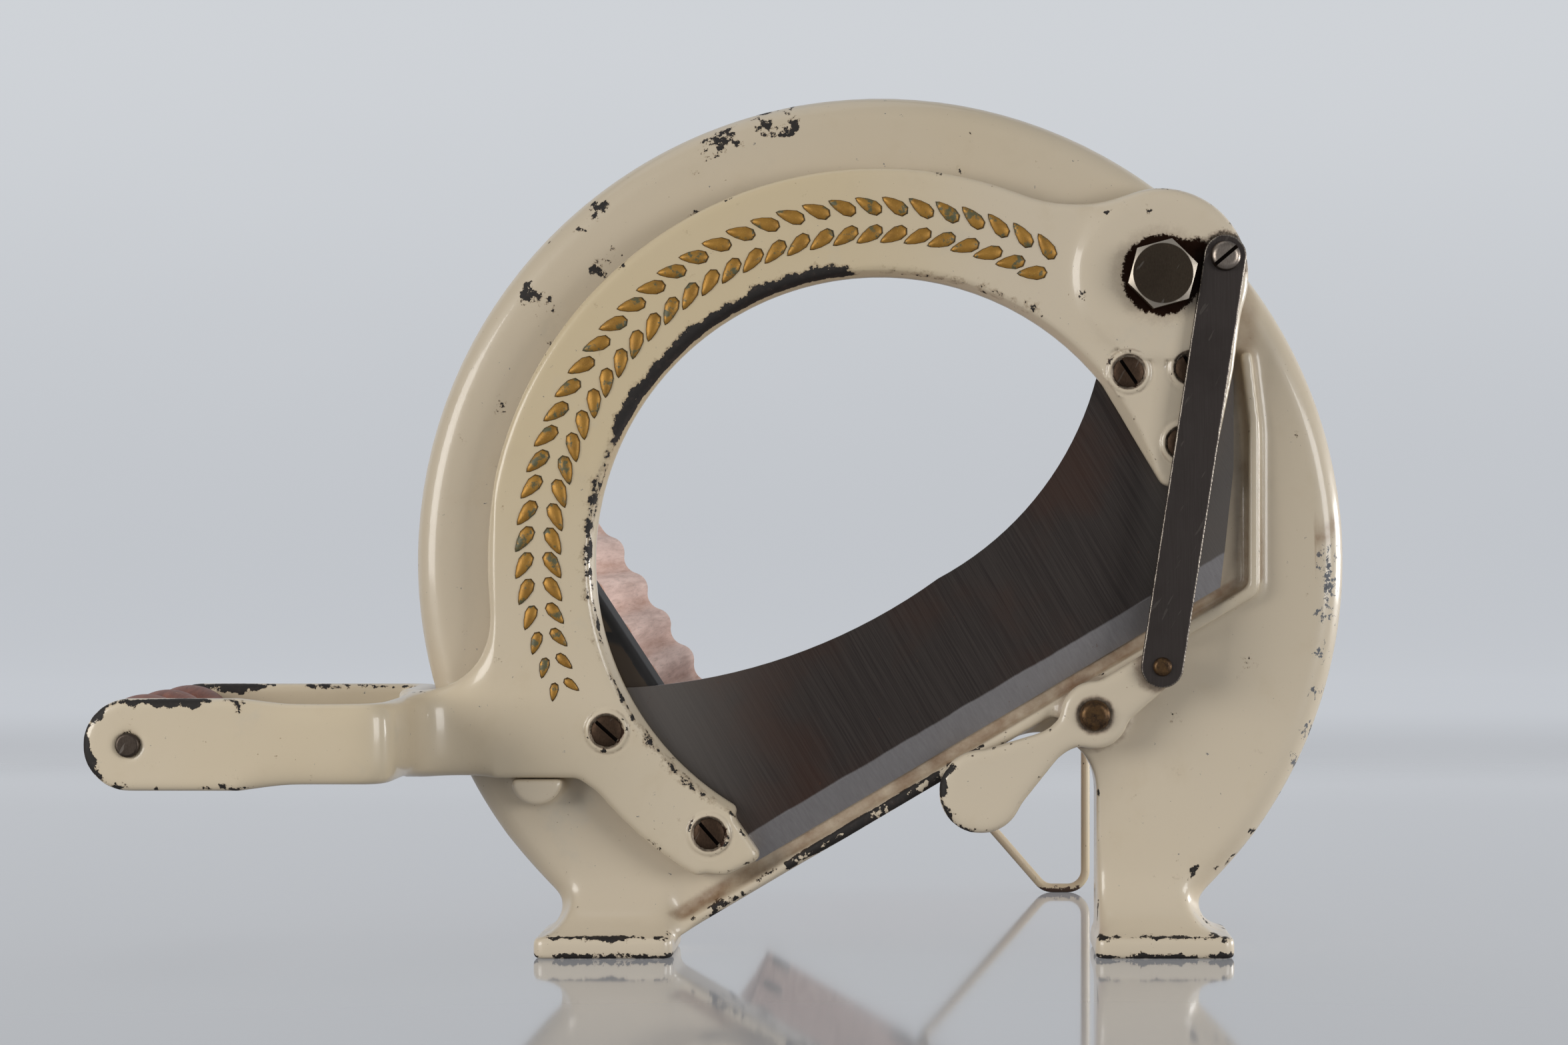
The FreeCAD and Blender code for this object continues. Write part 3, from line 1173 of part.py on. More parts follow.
node("frame_casting", frame_casting())
node("cutting_arm", cutting_arm())
node("blade", blade())
node("blade_screws", blade_screws())
node("pivot_bolt", pivot_bolt())
node("thrust_washer", ring_washer("ThrustWasher", S.bolt_d / 2 + S.run_fit, S.thrust_r,
                                  S.blade_thick + S.blade_gap - 2 * S.end_play),
     "Sizes.pivot_x", "Sizes.arm_thick + Sizes.end_play", "Sizes.pivot_z")
node("pivot_washer", ring_washer("PivotWasher", S.bolt_d / 2, S.washer_r, S.washer_thick),
     "Sizes.pivot_x", BACK, "Sizes.pivot_z")
node("pivot_nut", pivot_nut())
node("link_bar", link_bar())
node("link_screw", link_screw())
node("link_rivet", link_rivet(), repr(RIVET.x), LINK_FRONT, repr(RIVET.y))
node("link_rivet_washer", ring_washer("RivetWasher", S.rivet_d / 2, S.rivet_washer_r,
                                      S.small_washer),
     repr(RIVET.x), f"{LEVER_BACK} + Sizes.end_play", repr(RIVET.y))
node("paddle_lever", paddle_lever())
node("paddle_pin", paddle_pin(), "Sizes.lever_x", f"{LEVER_FRONT} - Sizes.end_play", "Sizes.lever_z")
node("paddle_pin_washer", ring_washer("PinWasher", S.pin_d / 2, S.pin_washer_r, S.small_washer),
     "Sizes.lever_x", BACK, "Sizes.lever_z")
node("grip", grip(), "-Sizes.grip_reach", "-Sizes.fork_gap / 2 + Sizes.grip_play", "Sizes.grip_z")
node("grip_rod", grip_rod(), "-Sizes.grip_reach", FORK_FRONT, "Sizes.grip_z")
node("side_board", side_board())
node("base_board", base_board())
node("frame_screws", frame_screws())
node("corner_screws", corner_screws())
node("wire_foot", wire_foot())
node("foot_saddles", foot_saddles())
node("saddle_screws", saddle_screws())

doc.recompute()
for obj in doc.Objects:
    if {"Invalid", "Error"} & set(obj.State):
        raise RuntimeError(f"{obj.Name} did not compute: {obj.State}")
os.makedirs("parts", exist_ok=True)
for name, obj in NODES.items():
    shape = obj.Shape
    if shape.isNull() or not shape.isValid():
        raise RuntimeError(f"{name} has no valid shape")
    shape.exportStep(os.path.join("parts", name + ".step"))
    box = shape.BoundBox
    print(f"{name:20} solids {len(shape.Solids)} volume {shape.Volume / 1000:9.2f} cm3 "
          f"x {box.XMin:7.1f} {box.XMax:7.1f} y {box.YMin:7.1f} {box.YMax:7.1f} "
          f"z {box.ZMin:7.1f} {box.ZMax:7.1f}")
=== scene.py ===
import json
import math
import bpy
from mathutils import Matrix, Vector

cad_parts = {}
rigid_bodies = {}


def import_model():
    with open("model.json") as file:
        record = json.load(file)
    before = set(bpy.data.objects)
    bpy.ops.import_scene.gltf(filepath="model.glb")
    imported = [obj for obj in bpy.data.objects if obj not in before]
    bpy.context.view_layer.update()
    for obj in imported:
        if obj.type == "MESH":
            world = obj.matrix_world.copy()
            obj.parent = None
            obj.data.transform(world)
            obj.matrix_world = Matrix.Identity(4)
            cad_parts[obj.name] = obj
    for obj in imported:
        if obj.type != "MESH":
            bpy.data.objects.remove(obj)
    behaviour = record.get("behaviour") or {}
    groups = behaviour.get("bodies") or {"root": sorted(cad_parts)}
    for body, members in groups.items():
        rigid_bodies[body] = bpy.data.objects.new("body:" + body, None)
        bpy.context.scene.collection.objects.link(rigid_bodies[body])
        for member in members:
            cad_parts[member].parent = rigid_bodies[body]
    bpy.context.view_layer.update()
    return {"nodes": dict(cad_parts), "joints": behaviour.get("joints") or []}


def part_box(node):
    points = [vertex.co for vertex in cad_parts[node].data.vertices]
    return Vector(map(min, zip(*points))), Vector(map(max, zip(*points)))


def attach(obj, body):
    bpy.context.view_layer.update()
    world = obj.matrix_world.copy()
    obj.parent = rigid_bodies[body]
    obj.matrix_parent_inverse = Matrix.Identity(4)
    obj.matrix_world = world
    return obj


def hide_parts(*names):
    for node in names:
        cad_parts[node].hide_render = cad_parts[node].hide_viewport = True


bl_info = {
    "name": "Bread slicer looks",
    "version": (1, 0, 0),
    "blender": (4, 5, 0),
    "location": "3D View > Sidebar > Slicer",
    "description": "Soft castings, fasteners, garland, finishes and studio for the bread slicer",
    "category": "Object",
}

import bmesh
import bpy
import numpy as np
import openvdb
from bpy.props import FloatProperty, FloatVectorProperty, IntProperty, PointerProperty
from mathutils import Vector, kdtree

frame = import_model()
NODES = frame["nodes"]
MM = 0.001


def spot_of(joint):
    """Where a joint's axis passes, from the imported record."""
    return next(Vector(j["pos_m"]) for j in frame["joints"] if j["name"] == joint)


HOOD_R = 144.0 * MM
HOOD_LOW, HOOD_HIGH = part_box("frame_casting")
RING = Vector(((HOOD_LOW.x + HOOD_HIGH.x) / 2, 0.0, HOOD_HIGH.z - HOOD_R))
BOLT_STANDS_OUT = 9.5 * MM
CAST_DEPTH = 11.1
ARM_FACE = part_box("pivot_bolt")[0].y + BOLT_STANDS_OUT
CAST_FACE = ARM_FACE + CAST_DEPTH * MM
PIVOT = spot_of("arm_lift")
LEVER = spot_of("paddle_swing")
SCREW_EYE = spot_of("link_swing")
GRIP_AXIS = spot_of("grip_spin")
RIVET = sum(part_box("link_rivet"), Vector()) / 2
RAIL_ANGLE = math.radians(30.6)
SIDE_ANGLE = math.radians(57.0)
TROUGH = Vector((RING.x - 39.4 * MM, 0.0, 38.25 * MM))
# The blade's edge passes this far straight below the ring's centre.
EDGE_BELOW = 70.3 * MM
SLOT_TURN = math.radians(40.0)
SHARP = math.radians(35.0)
# Marks that hold a distance hold it as a share of this many millimetres.
REACH = 20.0


def rgb(red, green, blue):
    """A colour given in display values of 0 to 255, as linear numbers."""
    return tuple(((v / 255 + 0.055) / 1.055) ** 2.4 if v > 10 else v / 255 / 12.92
                 for v in (red, green, blue))


# ---- settings --------------------------------------------------------------

def number(name, description, default, **more):
    return FloatProperty(name=name, description=description, default=default, **more)


def length(name, description, default):
    return number(name, description, default, unit="LENGTH", precision=4, min=0.0)


def colour(name, description, *display):
    return FloatVectorProperty(name=name, description=description, default=rgb(*display),
                               subtype="COLOR", size=3, min=0.0, max=1.0)


class CastingSettings(bpy.types.PropertyGroup):
    """How soft the cast and wooden pieces are."""

    frame_round: length("Frame edge", "Rounding of the frame's outer edges", 1.0 * MM)
    frame_fillet: length("Frame fillet", "Rounding of the frame's inner corners", 2.4 * MM)
    arm_round: length("Arm edge", "Rounding of the arm's outer edges", 1.7 * MM)
    arm_fillet: length("Arm fillet", "Rounding of the arm's inner corners", 2.2 * MM)
    lever_round: length("Lever edge", "Rounding of the lever's outer edges", 1.8 * MM)
    lever_fillet: length("Lever fillet", "Rounding of the lever's inner corners", 1.8 * MM)
    wood_round: length("Wood edge", "Rounding of the boards' edges", 0.6 * MM)
    steel_round: length("Steel edge", "Rounding of the link bar's edges", 0.35 * MM)
    cell: length("Cell", "Cell size of the castings' surface", 0.6 * MM)
    most_faces: IntProperty(name="Most triangles", description="Triangles kept on a casting",
                            default=180000, min=1000)


class ScrewSettings(bpy.types.PropertyGroup):
    """The screws' heads."""

    slot_width: length("Slot width", "Width of a screw's slot", 1.1 * MM)
    slot_depth: length("Slot depth", "Depth of a screw's slot", 0.9 * MM)
    crown: length("Crown", "Height of a head's crown over its rim", 0.35 * MM)
    rim: length("Rim", "Rounding of a head's rim", 0.3 * MM)
    sides: IntProperty(name="Sides", description="Sides of a screw's head", default=48, min=8)


class GarlandSettings(bpy.types.PropertyGroup):
    """The raised garland of kernels on the arm."""

    radius: length("Radius", "Ring centre to the garland's stem", 104.5 * MM)
    start: number("Start", "Direction of the garland's right end", math.radians(60.0), subtype="ANGLE")
    end: number("End", "Direction of the garland's left end", math.radians(204.0), subtype="ANGLE")
    kernels: IntProperty(name="Kernels", description="Kernels on each side of the stem",
                         default=34, min=2)
    kernel_length: length("Kernel length", "Length of one kernel", 9.6 * MM)
    kernel_width: length("Kernel width", "Width of one kernel", 4.2 * MM)
    kernel_height: length("Kernel height", "Height of one kernel over the arm's face", 1.1 * MM)
    spread: length("Spread", "Middle line to the middle of a kernel", 4.6 * MM)


class FinishSettings(bpy.types.PropertyGroup):
    """Colours of the finishes."""

    enamel: colour("Enamel", "Cream enamel", 209, 195, 172)
    warm: colour("Yellowed enamel", "Cream enamel where it has yellowed", 206, 187, 150)
    primer: colour("Primer", "Black primer under the enamel", 28, 23, 20)
    rust: colour("Rust", "Rust round the pins", 92, 56, 32)
    iron: colour("Bare iron", "Bare casting", 120, 122, 126)
    blade: colour("Blade", "Dark ground steel", 84, 77, 73)
    steel: colour("Steel", "Blackened steel", 72, 66, 64)
    worn: colour("Worn steel", "Worn bright steel", 128, 120, 112)
    zinc: colour("Zinc", "Dull zinc", 150, 150, 148)
    bronze: colour("Bronze", "Browned bronze", 96, 72, 46)
    lacquer: colour("Lacquer", "Red-brown lacquer over wood", 134, 68, 38)
    board: colour("Board", "Scrubbed bare wood", 226, 198, 186)
    gold: colour("Gold", "Old gold paint", 168, 124, 52)


class StudioSettings(bpy.types.PropertyGroup):
    """Floor, light and camera."""

    lens: number("Lens", "Focal length", 82.5, min=1.0, unit="CAMERA")
    camera_x: number("Camera X", "Camera's place to the side", 0.0603, unit="LENGTH")
    camera_y: number("Camera Y", "Camera's place in front", -1.1746, unit="LENGTH")
    camera_z: number("Camera Z", "Camera's height", 0.130, unit="LENGTH")
    shift_x: number("Shift X", "Framing to the side", -0.0952)
    shift_y: number("Shift Y", "Framing upwards", 0.0068)
    key: number("Key", "Power of the main light", 11.0, unit="POWER")
    fill: number("Fill", "Power of the side light", 7.0, unit="POWER")
    top: number("Top", "Power of the overhead light", 2.2, unit="POWER")
    low: number("Low", "Power of the low light beside the floor", 5.0, unit="POWER")
    sky: number("Sky", "Strength of the even light", 0.3, min=0.0)
    floor: colour("Floor", "Pale glossy floor", 152, 152, 154)
    floor_glow: colour("Floor light", "Light of the floor near the object", 96, 97, 99)
    low_glow: colour("Low backdrop", "Light of the backdrop near the floor", 175, 178, 183)
    high_glow: colour("High backdrop", "Light of the backdrop high up", 195, 198, 202)
    backdrop: colour("Backdrop", "Pale backdrop", 128, 130, 132)


# ---- shader maths ----------------------------------------------------------

class Value:
    """A node's socket that can stand in sums and products; | takes the greater of two."""

    def __init__(self, owner, socket):
        self.owner = owner
        self.socket = socket

    def maths(self, operation, first, second=0.0):
        return self.owner.node("Math", {"operation": operation}, {0: first, 1: second})

    def __abs__(self):
        return self.maths("ABSOLUTE", self)

    def step(self, low, high):
        """0 below low and 1 above high, smooth between them; high may be the smaller."""
        return self.owner.node("MapRange", {"interpolation_type": "SMOOTHSTEP"},
                               {0: self, 1: low, 2: high, 3: 0.0, 4: 1.0})


def arithmetic(operation, swapped):
    """A method of Value for an operation, with its two sides swapped if asked."""
    def method(self, other):
        sides = (other, self) if swapped else (self, other)
        return self.maths(operation, *sides)
    return method


for sign, operation in (("add", "ADD"), ("sub", "SUBTRACT"), ("mul", "MULTIPLY"),
                        ("truediv", "DIVIDE"), ("pow", "POWER"), ("or", "MAXIMUM")):
    setattr(Value, f"__{sign}__", arithmetic(operation, False))
    setattr(Value, f"__r{sign}__", arithmetic(operation, True))


class Tree:
    """A node tree that grows node by node."""

    def __init__(self, tree):
        self.tree = tree

    def node(self, kind, settings=None, sockets=None, out=0):
        """A node with its settings and its sockets' values or links; a short kind is a shader's."""
        made = self.tree.nodes.new(kind if "Node" in kind else "ShaderNode" + kind)
        for key, value in (settings or {}).items():
            setattr(made, key, value)
        for key, value in (sockets or {}).items():
            self.plug(made.inputs[key], value)
        return Value(self, made.outputs[out])

    def plug(self, socket, value):
        if isinstance(value, Value):
            self.tree.links.new(value.socket, socket)
        elif socket.type == "RGBA":
            socket.default_value = (*value[:3], 1.0)
        else:
            socket.default_value = value


class Finish(Tree):
    """One procedural material."""

    def __init__(self, name, base, **constants):
        self.base = base
        self.material = bpy.data.materials.new(name)
        self.material.use_nodes = True
        super().__init__(self.material.node_tree)
        self.tree.nodes.clear()
        self.shader = self.tree.nodes.new("ShaderNodeBsdfPrincipled")
        output = self.tree.nodes.new("ShaderNodeOutputMaterial")
        self.tree.links.new(self.shader.outputs[0], output.inputs[0])
        for key, value in constants.items():
            self.shader.inputs[key.replace("_", " ")].default_value = value
        self.here = self.node("TexCoord", out="Object")
        where = self.node("SeparateXYZ", None, {0: self.here}).socket.node
        self.x, self.y, self.z = (Value(self, socket) for socket in where.outputs)

    def stretched(self, along, turn=(0.0, 0.0, 0.0)):
        """Object coordinates turned and scaled."""
        return self.node("Mapping", {"vector_type": "TEXTURE"},
                         {"Vector": self.here, "Rotation": turn,
                          "Scale": tuple(1.0 / scale for scale in along)})

    def noise(self, per_mm, detail=4.0, rough=0.55, vector=None, twist=0.0):
        return self.node("TexNoise", None,
                         {"Vector": vector or self.here, "Scale": per_mm / MM, "Detail": detail,
                          "Roughness": rough, "Distortion": twist}, "Fac")

    def mix(self, factor, first, second):
        return self.node("Mix", {"data_type": "RGBA"}, {0: factor, 6: first, 7: second}, 2)

    def paint(self, factor, *over):
        """Mix a colour, or one given by three display values, over the finish so far."""
        self.base = self.mix(factor, self.base, rgb(*over) if len(over) == 3 else over[0])

    def attribute(self, name):
        return self.node("Attribute", {"attribute_name": name, "attribute_type": "GEOMETRY"},
                         out="Fac")

    def from_axis(self, place):
        """Distance from an axis along y through the place, in millimetres."""
        across = (self.x - place[0]) ** 2.0
        up = (self.z - place[2]) ** 2.0
        return (across + up) ** 0.5 / MM

    def finish(self, **sockets):
        """Link what varies over the surface and return the material."""
        for key, value in {"Base_Color": self.base, **sockets}.items():
            self.plug(self.shader.inputs[key.replace("_", " ")], value)
        return self.material

    def bump(self, height, strength, distance, normal=None):
        sockets = {"Height": height, "Strength": strength, "Distance": distance}
        if normal is not None:
            sockets["Normal"] = normal
        return self.node("Bump", None, sockets, "Normal")


# ---- finishes --------------------------------------------------------------

def settings():
    return bpy.context.scene


def enamel(name, warmth, ease):
    """Chipped cream enamel over black primer; ease is how far edges were rounded off, in mm."""
    tone = settings().slicer_finish
    f = Finish(name, tone.enamel, Specular_IOR_Level=0.45, Coat_Roughness=0.1)
    edge, rub, spot, bare, recess_shade, opening_shade_and_black, band, seat = map(f.attribute, MARKS)
    edge, seat = edge * REACH, seat * REACH
    cloud = f.noise(0.012, 3.0)
    stain = f.noise(0.06, 6.0, 0.65)
    grains = f.noise(0.55, 3.0, 0.6)
    if warmth == "arm":
        yellow = (f.x - PIVOT.x) / (-0.12) - 0.1
        yellow = yellow.step(0.0, 1.0) * (0.35 + (f.z - RING.z).step(-0.06, 0.1) * 0.65)
    else:
        yellow = 0.25 * (f.z - RING.z).step(-0.02, 0.12)
    f.paint((yellow + (cloud - 0.5) * 0.9).step(0.0, 1.25), tone.warm)
    f.paint(stain.step(0.52, 0.75) * 0.28, 196, 178, 148)
    f.paint(f.noise(0.03, 5.0, 0.6).step(0.6, 0.75) * 0.3, 186, 188, 182)
    # Painted shade: the enamel is darker towards the top, less on the arm than on the frame and the
    # paddle lever.
    top_shade = 0.1 if warmth == "arm" else 0.2
    f.paint((f.z - RING.z).step(-0.09, 0.0) * top_shade, 132, 118, 94)
    specks = f.noise(0.9, 2.0, 0.5).step(0.74, 0.79)
    f.paint(specks * 0.55, 120, 92, 60)

    flake = f.noise(0.45, 8.0, 0.66) - 0.5
    coarse = f.noise(0.13, 6.0, 0.62) - 0.5
    rubbed = rub * 2.9 - 1.6 + ease + flake * 6.0 + coarse * 9.0 - edge
    flaked = flake * 0.4 + coarse * 1.1 + spot * 0.26 - 0.26
    banded = band - 0.55 + flake * 1.3 + coarse * 1.6
    worn = rubbed * 0.1 | flaked | banded * 0.15
    chip = worn.step(0.0, 0.006)
    halo = worn.step(-0.035, 0.0) * 0.45
    scar = (f.noise(0.5, 7.0, 0.7) + bare * 0.24).step(0.68, 0.695)
    f.paint(halo, 140, 116, 86)
    f.paint(chip, f.mix(f.noise(0.5, 4.0).step(0.5, 0.75) * 0.5, tone.primer, rgb(60, 48, 42)))
    f.paint(scar, f.mix(grains, tone.iron, rgb(66, 66, 70)))

    jitter = (f.noise(0.35, 5.0) - 0.5) * 4.0
    if warmth == "arm":
        jitter = jitter * 0.6 + (f.noise(1.3, 5.0, 0.7) - 0.5) * 3.0
        ring = (f.from_axis(PIVOT) + jitter * 1.2).step(13.0, 11.7) * 1.5
        haze = (f.from_axis(PIVOT) + jitter * 2.0).step(17.0, 12.0) * 0.25
        between = (f.from_axis((PIVOT + SCREW_EYE) / 2) + jitter).step(9.4, 7.6) * 1.5
        grime = ring | haze | between | (f.from_axis(SCREW_EYE) + jitter).step(8.8, 7.2)
        grime = grime | (seat + jitter * 0.12).step(5.75, 5.3) * 0.85
        outline = abs(seat - 6.9 + jitter * 0.2).step(0.5, 0.1) * coarse.step(-0.03, 0.06) * 0.35
        grime = grime | outline
    elif warmth == "lever":
        grime = (f.from_axis(LEVER) + jitter * 0.4).step(6.6, 5.2) * 0.85
        grime = grime | (f.from_axis(RIVET) + jitter).step(9.6, 7.2) * 0.7
    else:
        grime = (f.from_axis(LEVER) + jitter).step(12.8, 10.8) * 0.5
    darkening = grime * (0.45 + f.noise(0.5, 6.0, 0.7) * 0.75)
    rusty = darkening.step(0.4, 0.85)
    # Painted shade, brown, in the frame's groove below the blade and beside the blade's end.
    f.paint(recess_shade * (0.6 + coarse * 1.5), 124, 92, 62)
    f.paint(darkening, f.mix(rusty, tone.rust, rgb(38, 22, 14)))
    # Painted shade, olive brown, on the frame's face beside the trough's steep side; black on the wall
    # there and on a strip along its edge.
    f.paint(opening_shade_and_black.step(0.2, 0.4), f.mix(opening_shade_and_black.step(0.6, 0.8), rgb(58, 44, 28), rgb(22, 20, 20)))
    under_paint = chip | scar | darkening * 0.7 | opening_shade_and_black
    rough = 0.30 + grains * 0.08 + under_paint * 0.32 + stain * 0.06
    peel = f.noise(0.42, 2.0, 0.4) * 0.6 + f.noise(0.1, 3.0) * 0.7
    soft = f.bump(peel, 0.5, 0.00012)
    normal = f.bump(1.0 - chip | scar, 0.8, 0.00016, soft)
    return f.finish(Roughness=rough, Metallic=rusty, Coat_Weight=0.5 - under_paint * 0.5,
                    Normal=normal)


def brushed(name, colour_, dark, roughness, along=(1.0, 1.0, 0.03), rust_at=None,
            scratches=0.25, bright=None, sunk=None, slot=None):
    """Steel with fine lines, rust and scratches; if asked, bright worn parts with a painted highlight,
    painted shade on sunk parts, or a slot in painted shade.
    """
    tone = settings().slicer_finish
    f = Finish(name, colour_, Metallic=1.0, Specular_IOR_Level=0.5)
    lines = f.noise(2.2, 4.0, 0.65, f.stretched(along))
    broad = f.noise(0.04, 5.0, 0.6)
    scores = f.noise(0.7, 2.0, 0.4, f.stretched((1.0, 1.0, 0.02), (0.2, 0.5, 0.1))).step(0.68, 0.72)
    f.paint(lines, dark)
    f.paint(broad.step(0.45, 0.75) * 0.5, dark)
    f.paint(scores * scratches, tone.worn)
    rust = f.noise(0.5, 7.0, 0.7)
    if rust_at is None:
        rust = rust.step(0.66, 0.76) * 0.5
    else:
        rust = (rust + (f.from_axis(rust_at[0]) - rust_at[1]) * 0.02).step(0.55, 0.72) * 0.8
    f.paint(rust, tone.rust)
    if bright:
        # Painted highlight, over wear, on the parts asked for.
        f.paint(bright(f), 196, 186, 172)
    if sunk:
        # Painted shade: dark more than 0.5 to 0.8 mm behind the screw heads' fronts, in the slots and
        # round the rims.
        f.paint(f.y.step(sunk + 0.5 * MM, sunk + 0.8 * MM), 20, 16, 14)
    if slot:
        # Painted shade along the link screw's slot, and darker beyond 4.5 mm from its axis.
        across = (f.x - slot.x) * -math.sin(SLOT_TURN) + (f.z - slot.z) * math.cos(SLOT_TURN)
        f.paint(abs(across).step(0.65 * MM, 0.5 * MM), 26, 20, 17)
        f.paint(f.from_axis(slot).step(3.9, 4.5) * 0.7, 48, 34, 26)
    rough = roughness + lines * 0.16 + rust * 0.3 - scores * 0.08
    normal = f.bump(lines + scores * -0.6, 0.25, 0.00005)
    return f.finish(Roughness=rough, Metallic=1.0 - rust * 0.8, Normal=normal)


def blade_finish():
    """Dark ground steel with a lighter ground bevel along the edge and a painted reflection towards
    both ends.
    """
    tone = settings().slicer_finish
    f = Finish("ground_blade", tone.blade, Specular_IOR_Level=0.5)
    across =(f.z - RING.z) * math.cos(RAIL_ANGLE) - (f.x - RING.x) * math.sin(RAIL_ANGLE)
    rise = (across - -EDGE_BELOW * math.cos(RAIL_ANGLE)) / MM
    bevel = (rise + (f.noise(0.08, 3.0) - 0.5) * 1.2).step(9.0, 8.2)
    turn = (0.0, -RAIL_ANGLE, 0.0)
    lines = f.noise(1.3, 4.0, 0.7, f.stretched((1.0, 1.0, 0.02), turn))
    fine = f.noise(3.4, 3.0, 0.6, f.stretched((1.0, 1.0, 0.01), turn))
    broad = f.noise(0.02, 4.0, 0.6)
    f.paint((lines * 0.6 + fine * 0.4).step(0.35, 0.65), 64, 58, 56)
    f.paint(broad.step(0.45, 0.7) * 0.45, 92, 64, 52)
    # Painted reflection: the blade is lighter towards both its ends.
    light = (f.x - RING.x).step(-0.02, -0.08) | (f.x - RING.x).step(0.075, 0.1)
    f.paint(light * 0.6, 140, 134, 128)
    f.paint(bevel, f.mix(lines, rgb(176, 172, 172), rgb(136, 132, 132)))
    stain = (f.noise(0.35, 6.0, 0.7) + light * 0.03).step(0.66, 0.72) * 0.6
    f.paint(stain, tone.rust)
    rough = 0.34 + lines * 0.14 + stain * 0.2
    normal = f.bump(lines + fine, 0.3, 0.00005)
    return f.finish(Roughness=rough, Metallic=0.95 - stain * 0.6, Normal=normal)


def bolt_bright(f):
    """The chamfers of the pivot bolt's head: worn steel with a painted highlight."""
    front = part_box("pivot_bolt")[0].y
    rim = f.from_axis(PIVOT).step(9.0, 9.3)
    return rim * f.y.step(front + 1.15 * MM, front + 0.95 * MM) * 0.85


def link_bright(f):
    """The edges of the link bar: worn steel with a painted highlight."""
    return (f.attribute("edge") * REACH + f.noise(0.3, 4.0)).step(1.1, 0.7) * 0.5


def wood(name, colour_, dark, grain_mm, rough_low, coat=0.0, chips=False, grooves=False):
    """Wood with its grain along y."""
    f = Finish(name, colour_, Specular_IOR_Level=0.4, Coat_Roughness=0.18)
    fibre = f.noise(grain_mm, 6.0, 0.65, f.stretched((1.0, 0.045, 1.0)), twist=0.3)
    pores = f.noise(grain_mm * 4.0, 3.0, 0.6, f.stretched((1.0, 0.03, 1.0)))
    broad = f.noise(0.03, 4.0, 0.6, f.stretched((1.0, 0.2, 1.0)))
    f.paint(fibre.step(0.3, 0.75), dark)
    f.paint(pores.step(0.56, 0.72) * 0.35, tuple(c * 0.45 for c in dark))
    f.paint(broad.step(0.5, 0.8) * 0.4, dark)
    wear = f.noise(0.2, 6.0, 0.65)
    if chips:
        f.paint(wear.step(0.6, 0.68) * 0.6, 190, 150, 112)
    if grooves:
        # Painted shade, orange-brown, in the boards' flutes, and the same colour along their front
        # edge.
        front = (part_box("side_board")[0].y + 4.0 * MM - f.y) / (4.0 * MM)
        darkening = f.attribute("flute").step(0.35, 1.0) * 0.35 | front.step(0.0, 0.6) * 0.6
        f.paint(darkening * (0.3 + fibre), 178, 116, 78)
    rough = rough_low + fibre * 0.15 + pores * 0.1
    normal = f.bump(fibre * 0.6 + pores.step(0.5, 0.75) * -0.6, 0.35, 0.00015)
    return f.finish(Roughness=rough, Coat_Weight=coat - wear * coat * 0.4, Normal=normal)


def bronze_finish():
    tone = settings().slicer_finish
    f = Finish("browned_bronze", tone.bronze, Specular_IOR_Level=0.5)
    cloud = f.noise(0.5, 5.0, 0.65)
    pits = f.noise(2.4, 4.0, 0.6)
    f.paint(cloud.step(0.35, 0.7), 52, 38, 28)
    f.paint(pits.step(0.6, 0.75) * 0.6, 150, 116, 72)
    return f.finish(Roughness=0.32 + cloud * 0.25, Metallic=0.9 - cloud * 0.2,
                    Normal=f.bump(pits + cloud, 0.4, 0.0001))


def gold_finish():
    tone = settings().slicer_finish
    f = Finish("old_gold_paint", tone.gold, Specular_IOR_Level=0.5)
    cloud = f.noise(0.2, 5.0, 0.65)
    grains = f.noise(2.6, 3.0, 0.6)
    f.paint(cloud.step(0.4, 0.7) * 0.5, 120, 84, 34)
    f.paint(grains.step(0.55, 0.75) * 0.5, 206, 164, 88)
    lost = (f.noise(0.16, 7.0, 0.7) + grains * 0.08).step(0.57, 0.63)
    f.paint(lost, 86, 84, 56)
    outline = (f.y + (grains - 0.5) * 0.4 * MM).step(ARM_FACE - 0.42 * MM, ARM_FACE - 0.2 * MM)
    f.paint(outline * 0.85, 44, 36, 24)
    return f.finish(Roughness=0.42 + grains * 0.15, Metallic=0.55 - lost * 0.5,
                    Normal=f.bump(grains, 0.35, 0.0001))


def wire_finish():
    """Enamelled wire, worn to brown at its foot."""
    tone = settings().slicer_finish
    f = Finish("wire_enamel", tone.enamel, Specular_IOR_Level=0.5, Coat_Roughness=0.15)
    cloud = f.noise(0.05, 5.0, 0.6)
    flake = f.noise(0.5, 6.0, 0.65)
    low = f.z.step(3.6 * MM, 0.6 * MM)
    chip = (flake + low * 0.3).step(0.66, 0.7)
    f.paint(cloud, tone.warm)
    f.paint(chip, 70, 50, 38)
    return f.finish(Roughness=0.34 + chip * 0.3 + cloud * 0.08,
                    Coat_Weight=0.3 - chip * 0.3, Normal=f.bump(1.0 - chip, 0.6, 0.0001))


FINISHES = {}


